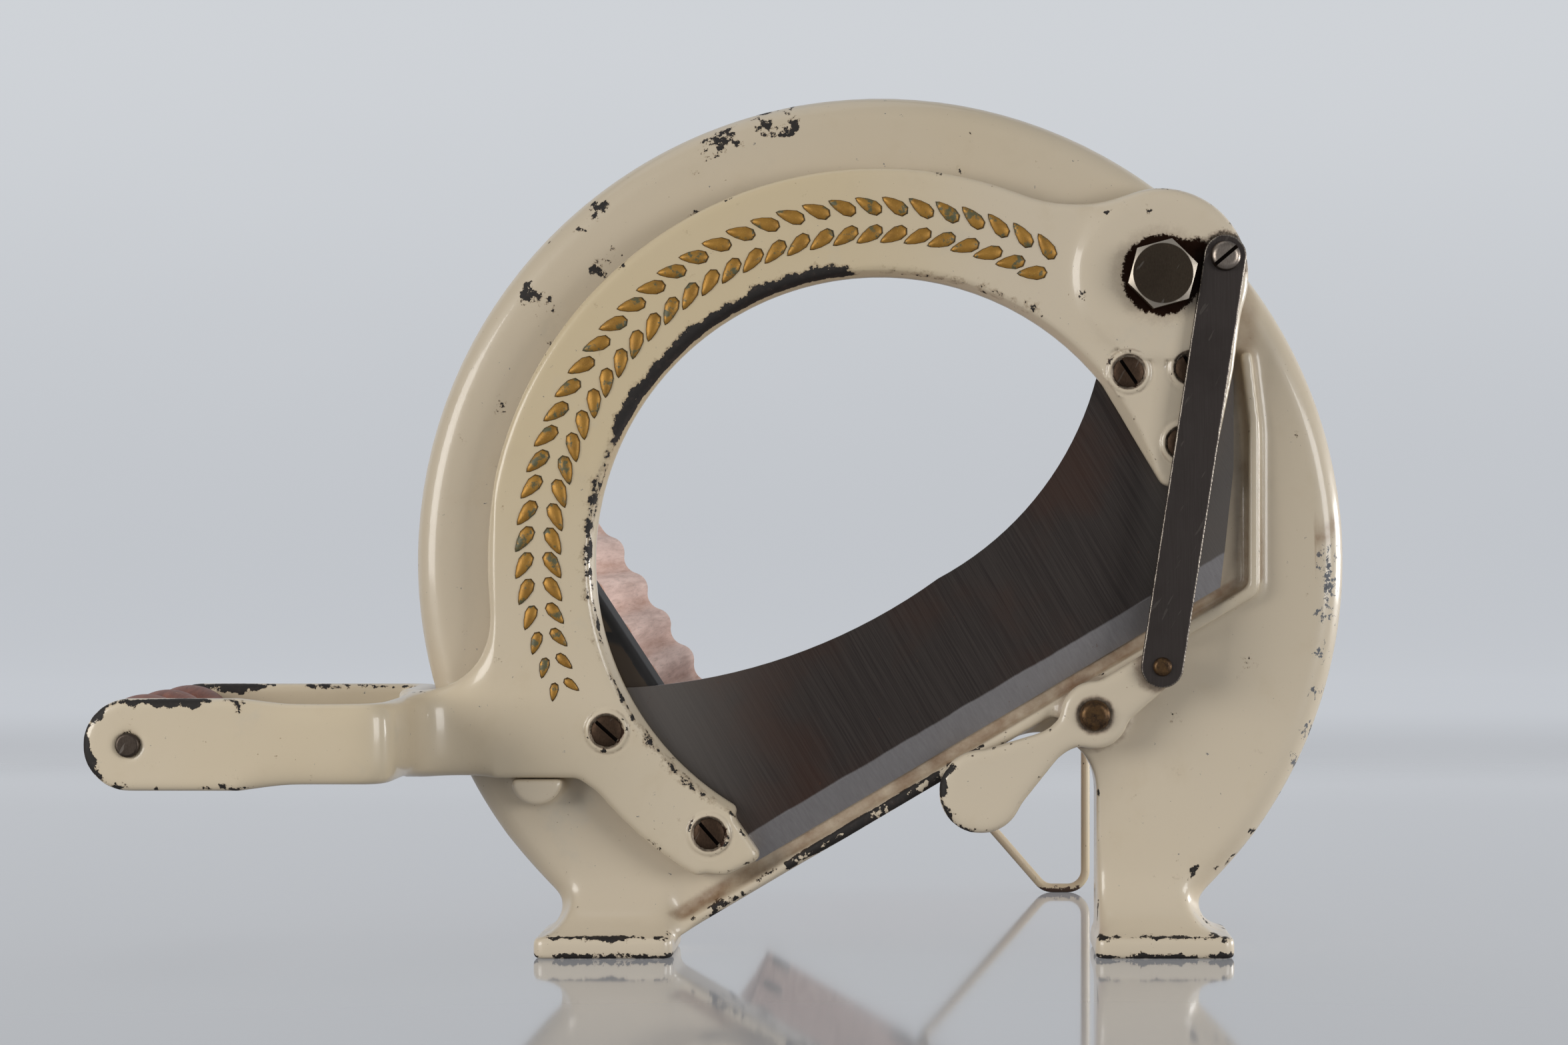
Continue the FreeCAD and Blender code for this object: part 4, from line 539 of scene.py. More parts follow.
class SLICER_OT_finishes(bpy.types.Operator):
    """Make the finishes and give them to the pieces that keep their shape"""

    bl_idname = "slicer.finishes"
    bl_label = "Finishes"

    def execute(self, context):
        tone = settings().slicer_finish
        dark = rgb(34, 30, 29)
        FINISHES.update(
            arm=enamel("arm_enamel", "arm", 0.9),
            frame=enamel("frame_enamel", "frame", 0.5),
            lever=enamel("lever_enamel", "lever", 1.1),
            blade=blade_finish(),
            bolt=brushed("bolt_steel", rgb(84, 74, 62), rgb(50, 42, 36), 0.4, along=(1.0, 1.0, 0.4),
                         rust_at=(PIVOT, 10.4), scratches=0.5, bright=bolt_bright),
            nut=brushed("nut_steel", tone.steel, dark, 0.42, along=(1.0, 1.0, 0.4)),
            link=brushed("link_steel", rgb(90, 83, 80), rgb(62, 56, 53), 0.36, scratches=0.35,
                         bright=link_bright),
            screw=brushed("screw_steel", rgb(92, 74, 60), rgb(48, 37, 30), 0.45,
                          along=(1.0, 1.0, 0.5), sunk=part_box("blade_screws")[0].y),
            shiny=brushed("worn_steel", rgb(176, 166, 156), rgb(104, 92, 82), 0.3,
                          along=(1.0, 1.0, 0.5), scratches=0.7, slot=SCREW_EYE),
            rod=brushed("rod_steel", rgb(98, 88, 80), rgb(56, 48, 42), 0.4,
                        along=(1.0, 1.0, 0.5), scratches=0.7),
            zinc=brushed("dull_zinc", tone.zinc, rgb(104, 102, 98), 0.42, along=(1.0, 1.0, 0.5)),
            bronze=bronze_finish(),
            gold=gold_finish(),
            grip=wood("lacquered_grip", tone.lacquer, rgb(86, 40, 22), 0.35, 0.42, 0.1, True),
            board=wood("scrubbed_board", tone.board, rgb(192, 162, 150), 0.45, 0.6, grooves=True),
            wire=wire_finish(),
        )
        kept = {"blade": "blade", "pivot_bolt": "bolt", "pivot_nut": "nut", "grip_rod": "rod",
                "thrust_washer": "zinc", "pivot_washer": "zinc", "link_screw": "shiny",
                "link_rivet": "bronze", "link_rivet_washer": "bronze", "paddle_pin": "bronze",
                "paddle_pin_washer": "bronze", "foot_saddles": "zinc", "frame_screws": "zinc",
                "wire_foot": "wire"}
        for node, finish in kept.items():
            for slot in NODES[node].material_slots:
                slot.material = FINISHES[finish]
        return {"FINISHED"}


# ---- meshes ----------------------------------------------------------------

def merged(node):
    """A copy of a CAD node's mesh with its doubles merged."""
    shape = bmesh.new()
    shape.from_mesh(NODES[node].data)
    bmesh.ops.remove_doubles(shape, verts=shape.verts, dist=0.002 * MM)
    return shape


def arrays(shape):
    """Points in millimetres and triangles of a mesh."""
    bmesh.ops.triangulate(shape, faces=shape.faces)
    shape.verts.ensure_lookup_table()
    points = np.array([v.co[:] for v in shape.verts], np.float32) / np.float32(MM)
    triangles = np.array([[v.index for v in f.verts] for f in shape.faces], np.uint32)
    return points, triangles


def shifted(points, triangles, quads, cell, offset):
    """The surface at an offset outwards from a closed surface, as quads."""
    band = abs(offset) / cell + 3.0
    grid = openvdb.createLinearTransform(voxelSize=cell)
    field = openvdb.FloatGrid.createLevelSetFromPolygons(
        points, triangles=triangles, quads=quads, transform=grid, halfWidth=band)
    return field.convertToQuads(offset)


def softened(points, triangles, cell, edge, fillet):
    """Round the outer edges and fill the inner corners of a closed surface."""
    grown, quads = shifted(points, triangles, None, cell, fillet)
    shrunk, quads = shifted(grown, None, quads, cell, -(fillet + edge))
    return shifted(shrunk, None, quads, cell, edge)


def mesh_from(name, points, faces):
    """A Blender mesh from points in millimetres and faces of three or four corners."""
    mesh = bpy.data.meshes.new(name)
    corners = faces.shape[1]
    mesh.vertices.add(len(points))
    mesh.vertices.foreach_set("co", (points * MM).astype(np.float32).ravel())
    mesh.loops.add(faces.size)
    mesh.loops.foreach_set("vertex_index", faces.astype(np.int32).ravel())
    mesh.polygons.add(len(faces))
    mesh.polygons.foreach_set("loop_start", np.arange(0, faces.size, corners, dtype=np.int32))
    mesh.update(calc_edges=True)
    return mesh


def outward(mesh):
    """Turn the faces round if the mesh's signed volume says that they point inwards."""
    shape = bmesh.new()
    shape.from_mesh(mesh)
    if shape.calc_volume(signed=True) < 0:
        bmesh.ops.reverse_faces(shape, faces=shape.faces)
    shape.to_mesh(mesh)
    shape.free()
    return mesh


def placed(name, data):
    """A new object in the scene."""
    obj = bpy.data.objects.new(name, data)
    bpy.context.scene.collection.objects.link(obj)
    return obj


def piece(name, mesh, body, slot, finish, *replaced):
    """An object of a mesh that rides on a body and may replace CAD nodes."""
    obj = placed(name, mesh)
    if finish:
        mesh.materials.clear()
        mesh.materials.append(FINISHES[finish])
    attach(obj, body)
    if replaced:
        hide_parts(*replaced)


def applied(obj):
    """The object's mesh with its modifiers applied and taken off; the object goes."""
    graph = bpy.context.evaluated_depsgraph_get()
    graph.update()
    mesh = bpy.data.meshes.new_from_object(obj.evaluated_get(graph))
    obj.modifiers.clear()
    bpy.data.objects.remove(obj)
    return mesh


def thinned(mesh, most):
    """The mesh with at most so many triangles."""
    count = sum(len(p.vertices) - 2 for p in mesh.polygons)
    if count <= most:
        return mesh
    obj = placed("thinning", mesh)
    obj.modifiers.new("Thin", "DECIMATE").ratio = most / count
    return applied(obj)


def sharp_edges(shape):
    """Points along the sharp outer edges of a merged CAD mesh."""
    found = []
    for edge in shape.edges:
        if len(edge.link_faces) == 2 and edge.calc_face_angle_signed(0.0) > SHARP:
            first, last = (v.co for v in edge.verts)
            steps = max(1, int((last - first).length / (0.7 * MM)))
            found += [first.lerp(last, i / steps) for i in range(steps + 1)]
    return found


def mark(mesh, name, values):
    layer = mesh.attributes.new(name, "FLOAT", "POINT")
    layer.data.foreach_set("value", np.clip(values, 0.0, 1.0).astype(np.float32))


def coordinates(mesh):
    flat = np.empty(len(mesh.vertices) * 3, np.float32)
    mesh.vertices.foreach_get("co", flat)
    return flat.reshape(-1, 3).astype(float)


def moved(mesh, points):
    """Put the mesh's points at the given places."""
    mesh.vertices.foreach_set("co", points.astype(np.float32).ravel())
    mesh.update()


def measured(points):
    """Place beside the ring's centre, behind the arm's face and above the floor, in mm."""
    return ((points - (RING.x, ARM_FACE, 0.0)) / MM).T


def distance(points, edges):
    """From each point to the nearest of the edge points, as a share of REACH."""
    tree = kdtree.KDTree(len(edges))
    for i, edge in enumerate(edges):
        tree.insert(edge, i)
    tree.balance()
    return np.array([tree.find(p)[2] for p in points]) / (REACH * MM)


def near_spots(points, spots):
    """How near the points lie to spots (x and z from the ring's centre, radius, in mm)."""
    level = np.zeros(len(points))
    for across, up, radius, strength in spots:
        away = np.hypot(points[:, 0] - RING.x - across * MM, points[:, 2] - RING.z - up * MM)
        level = np.maximum(level, strength * np.exp(-(away / (radius * MM)) ** 2))
    return level


def ramp(values, low, high):
    """0 below low and 1 above high, straight between them; high may be the smaller."""
    return np.clip((values - low) / (high - low), 0.0, 1.0)


def polar(points, centre):
    """Distance in mm and direction in degrees of the points round an axis along y."""
    across, up = points[:, 0] - centre[0], points[:, 2] - centre[2]
    return np.hypot(across, up) / MM, np.degrees(np.arctan2(up, across)) % 360.0


def beside(points, angle):
    """Place along and distance inside a side of the trough, in mm."""
    across, up = (points[:, 0] - TROUGH.x) / MM, (points[:, 2] - TROUGH.z) / MM
    if angle == SIDE_ANGLE:
        across = -across
    along = across * math.cos(angle) + up * math.sin(angle)
    return along, up * math.cos(angle) - across * math.sin(angle)


def from_screws(points):
    """Distance in mm of the points from the nearest blade screw's axis."""
    axes = [(part.max(0) + part.min(0)) / 2 for part in loose_parts("blade_screws")]
    return np.min([polar(points, axis)[0] for axis in axes], axis=0)


def relaxed(mesh, weight, rounds):
    """Smooth the mesh where the weight says so: each point moves to its neighbours' middle."""
    pairs = np.empty(len(mesh.edges) * 2, np.int32)
    mesh.edges.foreach_get("vertices", pairs)
    first, last = pairs.reshape(-1, 2).T
    here = coordinates(mesh)
    size = len(here)
    count = np.bincount(first, minlength=size) + np.bincount(last, minlength=size)
    for _ in range(rounds):
        for k in range(3):
            total = np.bincount(first, here[last, k], size) + np.bincount(last, here[first, k], size)
            here[:, k] += (total / count - here[:, k]) * weight
    moved(mesh, here)


def soften_frame(mesh, here):
    """Let the feet flow into the legs."""
    above = ramp(here[:, 2], 7.0 * MM, 9.5 * MM) * ramp(here[:, 2], 36.0 * MM, 26.0 * MM)
    forward = ramp(here[:, 1], CAST_FACE + 14.0 * MM, CAST_FACE + 8.0 * MM)
    relaxed(mesh, above * forward, 40)
    relaxed(mesh, np.full(len(here), 0.6), 3)


def soften_arm(mesh, here):
    """Dome the pivot boss, ease the outer edges and raise the collars round the screws."""
    screw = from_screws(here)
    eye = polar(here, SCREW_EYE)[0]
    hub = polar(here, PIVOT)[0]
    clear = ramp(screw, 6.0, 9.0) * ramp(eye, 5.0, 7.0) * ramp(hub, 12.0, 14.0)
    front = ramp(here[:, 1], ARM_FACE + 6.0 * MM, ARM_FACE + 3.0 * MM)
    relaxed(mesh, clear * front * ramp(hub, 36.0, 30.0), 16)
    relaxed(mesh, clear * front * 0.5 * ramp(polar(here, RING)[0], 93.0, 97.0), 6)
    across = (here[:, 0] - RING.x) / MM
    bend = ramp(across, -118.0, -124.0) * ramp(across, -186.0, -172.0)
    relaxed(mesh, bend * ramp(here[:, 1], ARM_FACE + 9.0 * MM, ARM_FACE + 4.0 * MM), 150)
    here = coordinates(mesh)
    facing = abs(here[:, 1] - ARM_FACE) < 1.3 * MM
    collar = facing & (screw > 4.9) & (screw < 8.0)
    raised = ramp(screw, 7.1, 6.1) * ramp(screw, 4.9, 5.2)
    here[collar, 1] = ARM_FACE - 0.8 * MM * (raised[collar] ** 2 * (3 - 2 * raised[collar]))
    moved(mesh, here)


def soften_lever(mesh, here):
    """Dome the lever's outline."""
    clear = ramp(polar(here, LEVER)[0], 5.0, 7.0) * ramp(polar(here, RIVET)[0], 5.0, 8.0)
    front = ramp(here[:, 1], ARM_FACE + 2.0 * MM, ARM_FACE)
    relaxed(mesh, clear * front, 10)


def frame_marks(here):
    """Where the frame is rubbed, flaked and bare, where shade is painted into its groove and round its
    opening, and where it is unpainted.
    """
    x, depth, low = measured(here)
    inside = beside(here, RAIL_ANGLE)[1]
    up, within = beside(here, SIDE_ANGLE)
    foot = 0.6 * ramp(low, 9.0, 7.5) + 0.3 * ramp(low, 3.0, 1.5)
    foot *= ramp(depth, CAST_DEPTH, 2.0)
    lower_lip = ramp(inside, -12.4, -13.2) * ramp(low, 9.0, 12.0)
    lip = lower_lip * ramp(x, -70.0, -50.0) * ramp(x, 42.0, 26.0)
    right = 0.45 * ramp(low, 90.0, 60.0) * ramp(x, 90.0, 96.0)
    gap = 0.35 * ramp(abs(x - 67.0), 3.0, 2.0)
    # Painted shade in the groove below the blade and beside the blade's end, on the face only.
    groove = ramp(inside, -8.0, -9.5) * ramp(inside, -14.5, -12.5)
    beside_blade = ramp(x, 106.0, 110.0) * ramp(x, 118.0, 115.0) * ramp(inside, -14.0, -11.0)
    face = ramp(abs(depth - CAST_DEPTH), 5.0, 3.0)
    # Beside the trough's steep side: olive-brown painted shade on the face, black on the wall and on a
    # strip along it.
    opening = ramp(polar(here, RING)[0], 98.0, 95.0) * ramp(up, -4.0, 0.0) * ramp(x, -20.0, -26.0)
    wall = ramp(abs(within), 2.6, 2.0) * ramp(depth - CAST_DEPTH, 0.2, 0.8)
    olive = 0.5 * ramp(within, 0.5, 0.0) * ramp(within, -18.0, -14.0) * (depth < CAST_DEPTH + 1.0)
    strip = ramp(within, -3.4, -3.0) * ramp(within, 3.0, 2.0)
    return {"rub": np.maximum.reduce([foot, lip, right, gap]),
            "spot": np.maximum(near_spots(here, FRAME_SPOTS), lip * 0.78),
            "bare": near_spots(here, FRAME_BARE),
            "recess_shade": np.maximum(groove, beside_blade * 0.5) * face,
            "opening_shade_and_black": opening * np.maximum.reduce([wall, olive, strip])}


def arm_marks(here):
    """Where the arm is rubbed and flaked, its black inner edge and its screws' seats."""
    x, depth, height = measured(here)
    radius, turn = polar(here, RING)
    window = np.maximum.reduce([ramp(turn, 92.0, 98.0) * ramp(turn, 163.0, 150.0),
                                0.5 * ramp(turn, 150.0, 158.0) * ramp(turn, 212.0, 190.0),
                                0.45 * ramp(turn, 208.0, 214.0) * ramp(turn, 243.0, 238.0),
                                0.4 * ramp(turn, 55.0, 60.0) * ramp(turn, 96.0, 90.0)])
    front = ramp(depth, 3.4, 2.4)
    band = ramp(radius, 93.8, 90.2) * front * window
    tail_line = 0.56 * ramp(turn, 194.0, 204.0) * ramp(turn, 246.0, 242.0)
    tail_line *= ramp(abs(radius - 89.6), 1.1, 0.5) * front
    screw = from_screws(here)
    tip = 0.3 * ramp(turn, 232.0, 240.0) * ramp(turn, 250.0, 246.0)
    high = ramp(height, 74.0, 79.0)
    fork = np.maximum.reduce([0.95 * ramp(x, -214.0, -226.0), 0.9 * ramp(x, -188.0, -200.0) * high,
                              0.6 * ramp(here[:, 1], 0.0, 20.0 * MM) * high,
                              0.35 * ramp(x, -136.0, -150.0)])
    fork *= ramp(polar(here, GRIP_AXIS)[0], 7.0, 9.0)
    return {"rub": np.maximum(tip * ramp(screw, 7.5, 9.5), fork),
            "spot": near_spots(here, ARM_SPOTS),
            "band": np.maximum(band, tail_line),
            "seat": screw / REACH}


def lever_marks(here):
    """Where the paddle is rubbed."""
    x = (here[:, 0] - LEVER.x) / MM
    left = ramp(x, -30.0, -44.0) * ramp(here[:, 2], 66.0 * MM, 56.0 * MM)
    return {"rub": np.maximum(left * 0.9, 0.35 * ramp(polar(here, LEVER)[0], 20.0, 30.0))}


# Worn places: x and z from the ring's centre in mm, radius in mm, strength.
FRAME_SPOTS = [(-51, 128, 7, 1.0), (-45, 130, 6, 1.0), (-34, 133, 8, 1.0), (-28, 135, 6, 1.0),
               (-88, 109, 5, 1.0), (-93, 102, 4, 1.0), (-109, 81, 5, 1.0), (-112, 75, 3, 0.9),
               (30, 134, 3, 0.5), (60, 120, 3, 0.5), (116, -84, 4, 0.9), (110, -92, 3, 0.7),
               (-62, -99, 3, 0.6), (93, -92, 2, 0.8)]
FRAME_BARE = [(138, 2, 4, 1.0), (139, -8, 4, 1.0), (138, -16, 4, 0.8), (137, -28, 3, 0.9),
              (135, -40, 3, 0.8), (133, -52, 3, 0.9), (129, -62, 3, 0.9), (126, -74, 3, 1.0)]
ARM_SPOTS = [(-66, -58, 3, 0.5), (-46, -78, 3, 0.5), (66, 83, 5, 0.5), (72, 58, 6, 0.55),
             (-96, -40, 2, 0.5)]
MARKS = ("edge", "rub", "spot", "bare", "recess_shade", "opening_shade_and_black", "band", "seat")


def rounded(node, suffix, cell, edge, fillet, most, soften=None):
    """A rounded copy of a CAD node, its points and the node's sharp edges; lengths in mm."""
    shape = merged(node)
    edges = sharp_edges(shape)
    points, triangles = arrays(shape)
    shape.free()
    points, quads = softened(points, triangles, cell, edge, fillet)
    mesh = mesh_from(node + suffix, points, quads)
    if soften:
        soften(mesh, coordinates(mesh))
    mesh = outward(thinned(mesh, most))
    mesh.shade_smooth()
    return mesh, coordinates(mesh), edges


class SLICER_OT_castings(bpy.types.Operator):
    """Make the soft-edged castings: frame, arm and paddle lever"""

    bl_idname = "slicer.castings"
    bl_label = "Castings"

    def execute(self, context):
        size = settings().slicer_casting
        for node, body, finish, edge, fillet, soften, wear in (
                ("frame_casting", "frame", "frame", size.frame_round, size.frame_fillet,
                 soften_frame, frame_marks),
                ("cutting_arm", "arm", "arm", size.arm_round, size.arm_fillet, soften_arm, arm_marks),
                ("paddle_lever", "paddle", "lever", size.lever_round, size.lever_fillet,
                 soften_lever, lever_marks)):
            mesh, here, edges = rounded(node, "_soft", size.cell / MM, edge / MM, fillet / MM,
                                        size.most_faces, soften)
            none = np.zeros(len(here))
            found = {"edge": distance(here, edges), "seat": none + 1.0, **wear(here)}
            for name in MARKS:
                mark(mesh, name, found.get(name, none))
            piece(node + "_soft", mesh, body, "cream_enamel", finish, node)
        return {"FINISHED"}


class SLICER_OT_flat_pieces(bpy.types.Operator):
    """Make the boards and the link bar with eased edges"""

    bl_idname = "slicer.flat_pieces"
    bl_label = "Boards and link bar"

    def execute(self, context):
        size = settings().slicer_casting
        for node, body, slot, finish, cell, edge in (
                ("side_board", "frame", "pale_wood", "board", 0.5, size.wood_round / MM),
                ("base_board", "frame", "pale_wood", "board", 0.5, size.wood_round / MM),
                ("link_bar", "link", "dark_steel", "link", 0.2, size.steel_round / MM)):
            mesh, here, edges = rounded(node, "_eased", cell, edge, 0.3, 90000)
            if node == "link_bar":
                mark(mesh, "edge", distance(here, edges))
            else:
                angle = SIDE_ANGLE if node == "side_board" else RAIL_ANGLE
                inside = beside(here, angle)[1]
                mark(mesh, "flute", ramp(inside, -1.0, -3.0) * ramp(inside, -4.5, -3.5))
            piece(node + "_eased", mesh, body, slot, finish, node)
        return {"FINISHED"}


class SLICER_OT_grip(bpy.types.Operator):
    """Turn the wooden grip with its three swells and narrow beads"""

    bl_idname = "slicer.grip"
    bl_label = "Grip"

    def execute(self, context):
        low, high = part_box("grip")
        swell_r = (high.x - low.x) / 2
        span = high.y - low.y
        groove_r, bore_r, end_r = 10.2 * MM, 3.08 * MM, 10.8 * MM
        profile = [(bore_r, 0.0), (end_r - 0.8 * MM, 0.0), (end_r, 0.8 * MM)]
        for i in range(3):
            for k in range(1, 24):
                t = k / 24
                bulge = math.sin(math.pi * t) ** 0.62
                profile.append((groove_r + (swell_r - groove_r) * bulge, (i + t) * span / 3))
            if i < 2:
                profile.append((groove_r - 0.25 * MM, (i + 1) * span / 3))
        profile += [(end_r, span - 0.8 * MM), (end_r - 0.8 * MM, span), (bore_r, span)]
        shape = bmesh.new()
        ring = []
        sides = 72
        for radius, along in profile:
            ring.append([shape.verts.new((GRIP_AXIS.x + radius * math.cos(2 * math.pi * k / sides),
                                          low.y + along,
                                          GRIP_AXIS.z + radius * math.sin(2 * math.pi * k / sides)))
                         for k in range(sides)])
        for a, b in zip(ring, ring[1:] + ring[:1]):
            for k in range(sides):
                shape.faces.new((a[k], a[(k + 1) % sides], b[(k + 1) % sides], b[k]))
        bmesh.ops.recalc_face_normals(shape, faces=shape.faces)
        mesh = bpy.data.meshes.new("turned_grip")
        shape.to_mesh(mesh)
        shape.free()
        outward(mesh)
        mesh.shade_smooth()
        piece("turned_grip", mesh, "grip_body", "lacquered_wood", "grip", "grip")
        return {"FINISHED"}


# ---- repeated pieces by geometry nodes -------------------------------------

def loose_points(name, places, **values):
    """A mesh of loose points, with a number for each point under every name given."""
    mesh = bpy.data.meshes.new(name)
    mesh.from_pydata(places, [], [])
    for key, numbers in values.items():
        layer = mesh.attributes.new(key, "FLOAT", "POINT")
        layer.data.foreach_set("value", np.array(numbers, np.float32))
    return mesh


class Recipe(Tree):
    """A geometry node tree with named inputs, which puts a shape on points."""

    def __init__(self, name):
        super().__init__(bpy.data.node_groups.new(name, "GeometryNodeTree"))
        for way in ("INPUT", "OUTPUT"):
            self.tree.interface.new_socket("Geometry", in_out=way, socket_type="NodeSocketGeometry")
        self.inputs = self.tree.nodes.new("NodeGroupInput")
        self.output = self.tree.nodes.new("NodeGroupOutput")
        self.ids = {}

    def size(self, name, value, kind="Float"):
        """A named input, its value kept for the modifier."""
        socket = self.tree.interface.new_socket(name, in_out="INPUT",
                                                socket_type="NodeSocket" + kind)
        self.ids[socket.identifier] = value
        return Value(self, self.inputs.outputs[name])

    def vector(self, operation, first, second=(0.0, 0.0, 0.0), out=0):
        return self.node("VectorMath", {"operation": operation}, {0: first, 1: second}, out)

    def combine(self, x=0.0, y=0.0, z=0.0):
        return self.node("CombineXYZ", None, {0: x, 1: y, 2: z})

    def attribute(self, name):
        return self.node("GeometryNodeInputNamedAttribute", {"data_type": "FLOAT"}, {"Name": name})

    def changed(self, kind, geometry, **sockets):
        """The geometry after a node of the given kind."""
        return self.node("GeometryNode" + kind, None, {"Geometry": geometry, **sockets})

    def on_points(self, shape, facing, axis, space, **sockets):
        """The shape on each point: its z faces a way, then it spins by the point's turn."""
        faced = self.node("FunctionNodeAlignRotationToVector", {"axis": "Z"}, {"Vector": facing})
        spun = self.node("FunctionNodeAxisAngleToRotation", None,
                         {"Axis": axis, "Angle": self.attribute("turn")})
        way = self.node("FunctionNodeRotateRotation", {"rotation_space": space}, {0: faced, 1: spun})
        return self.node("GeometryNodeInstanceOnPoints", None,
                         {"Points": Value(self, self.inputs.outputs[0]), "Instance": shape,
                          "Rotation": way, **sockets})

    def run(self, mesh, geometry, material):
        """End the tree, run it on the mesh and return a plain mesh."""
        real = self.node("GeometryNodeRealizeInstances", None, {0: geometry})
        self.plug(self.output.inputs[0], self.changed("SetMaterial", real, Material=material))
        obj = placed(self.tree.name, mesh)
        modifier = obj.modifiers.new(self.tree.name, "NODES")
        modifier.node_group = self.tree
        for identifier, value in self.ids.items():
            modifier[identifier] = value
        return applied(obj)


def loose_parts(node):
    """The bounds of each loose part of a CAD node."""
    shape = merged(node)
    seen, parts = set(), []
    for start in shape.verts:
        if start in seen:
            continue
        heap, members = [start], []
        seen.add(start)
        while heap:
            vert = heap.pop()
            members.append(vert.co.copy())
            for edge in vert.link_edges:
                other = edge.other_vert(vert)
                if other not in seen:
                    seen.add(other)
                    heap.append(other)
        parts.append(np.array(members))
    shape.free()
    return parts


def screw_places(node, axis):
    """Head centre, head radius and head height of each screw whose shank runs along the axis."""
    places = []
    for part in loose_parts(node):
        along = part @ np.array(axis)
        front = along.min()
        aside = part - np.outer(along, axis)
        ends = part[along < front + 0.02 * MM]
        middle = (ends.max(0) + ends.min(0)) / 2
        middle = middle - np.dot(middle, axis) * np.array(axis)
        radius = np.linalg.norm(aside - middle, axis=1)
        widest = along[radius > radius.max() - 0.05 * MM]
        places.append((middle + np.array(axis) * widest.max(), radius.max(),
                       widest.max() - front, along.max() - widest.max(),
                       radius[along > along.max() - 0.5 * MM].max()))
    return places


def screws(name, node, axis, body, slot, finish, turn):
    """All screws of a node: heads with slots, on their shanks."""
    size = settings().slicer_screws
    places = screw_places(node, axis)
    _, head_r, head, shank, shank_r = places[0]
    recipe = Recipe(name)
    radius = recipe.size("Head radius", head_r)
    height = recipe.size("Head height", head)
    crown = recipe.size("Crown", size.crown)
    rim = recipe.size("Rim", size.rim)
    slot_width = recipe.size("Slot width", size.slot_width)
    slot_depth = recipe.size("Slot depth", size.slot_depth)
    shank_long = recipe.size("Shank length", shank)
    shank_wide = recipe.size("Shank radius", shank_r)
    sides = recipe.size("Sides", size.sides, "Int")
    disc = recipe.node("GeometryNodeMeshCylinder", {"fill_type": "NGON"},
                       {"Vertices": sides, "Side Segments": 2, "Fill Segments": 5, "Radius": radius,
                        "Depth": height}, "Mesh")
    place = recipe.node("GeometryNodeInputPosition")
    away = recipe.vector("LENGTH", recipe.vector("MULTIPLY", place, (1.0, 1.0, 0.0)), out=1) / radius
    at_rim = away.maths("GREATER_THAN", away, 0.97)
    upper = recipe.node("FunctionNodeCompare", {"data_type": "FLOAT", "operation": "GREATER_THAN"},
                        {0: recipe.node("SeparateXYZ", None, {0: place}, 2), 1: 0.0001})
    domed = recipe.changed("SetPosition", disc, Selection=upper,
                           Offset=recipe.combine(z=(away ** 2.0 * crown + at_rim * rim) * -1.0))
    slot_size = recipe.combine(radius * 3.0, slot_width, slot_depth * 2.0)
    cutter = recipe.node("GeometryNodeMeshCube", None, {"Size": slot_size}, "Mesh")
    cutter = recipe.changed("Transform", cutter, Translation=recipe.combine(z=height * 0.5))
    head_cut = recipe.node("GeometryNodeMeshBoolean", {"operation": "DIFFERENCE", "solver": "EXACT"},
                           {"Mesh 1": domed, "Mesh 2": cutter}, "Mesh")
    rod = recipe.node("GeometryNodeMeshCylinder", {"fill_type": "NGON"},
                      {"Vertices": 24, "Radius": shank_wide, "Depth": shank_long}, "Mesh")
    rod = recipe.changed("Transform", rod,
                         Translation=recipe.combine(z=(height + shank_long) * -0.5))
    whole = recipe.node("GeometryNodeJoinGeometry", None, {0: head_cut})
    recipe.plug(whole.socket.node.inputs[0], rod)
    many = recipe.on_points(whole, tuple(-a for a in axis), (0.0, 0.0, 1.0), "LOCAL")
    middles = [Vector(place) - Vector(axis) * (tall / 2) for place, _, tall, _, _ in places]
    points = loose_points(name + "_places", middles,
                          turn=[turn - 0.12 * i for i in range(len(middles))])
    mesh = recipe.run(points, many, FINISHES[finish])
    mesh.shade_smooth()
    mesh.set_sharp_from_angle(angle=SHARP)
    piece(name, mesh, body, slot, None, node)


class SLICER_OT_screws(bpy.types.Operator):
    """Make the slotted screws of the blade, boards and saddles"""

    bl_idname = "slicer.screws"
    bl_label = "Screws"

    def execute(self, context):
        screws("slotted_blade_screws", "blade_screws", (0.0, 1.0, 0.0), "arm", "dark_steel",
               "screw", math.radians(-42.0))
        rail_axis = (-math.sin(RAIL_ANGLE), 0.0, math.cos(RAIL_ANGLE))
        screws("slotted_corner_screws", "corner_screws", rail_axis, "frame", "zinc_steel", "zinc",
               0.4)
        screws("slotted_saddle_screws", "saddle_screws", rail_axis, "frame", "zinc_steel", "zinc",
               0.9)
        return {"FINISHED"}


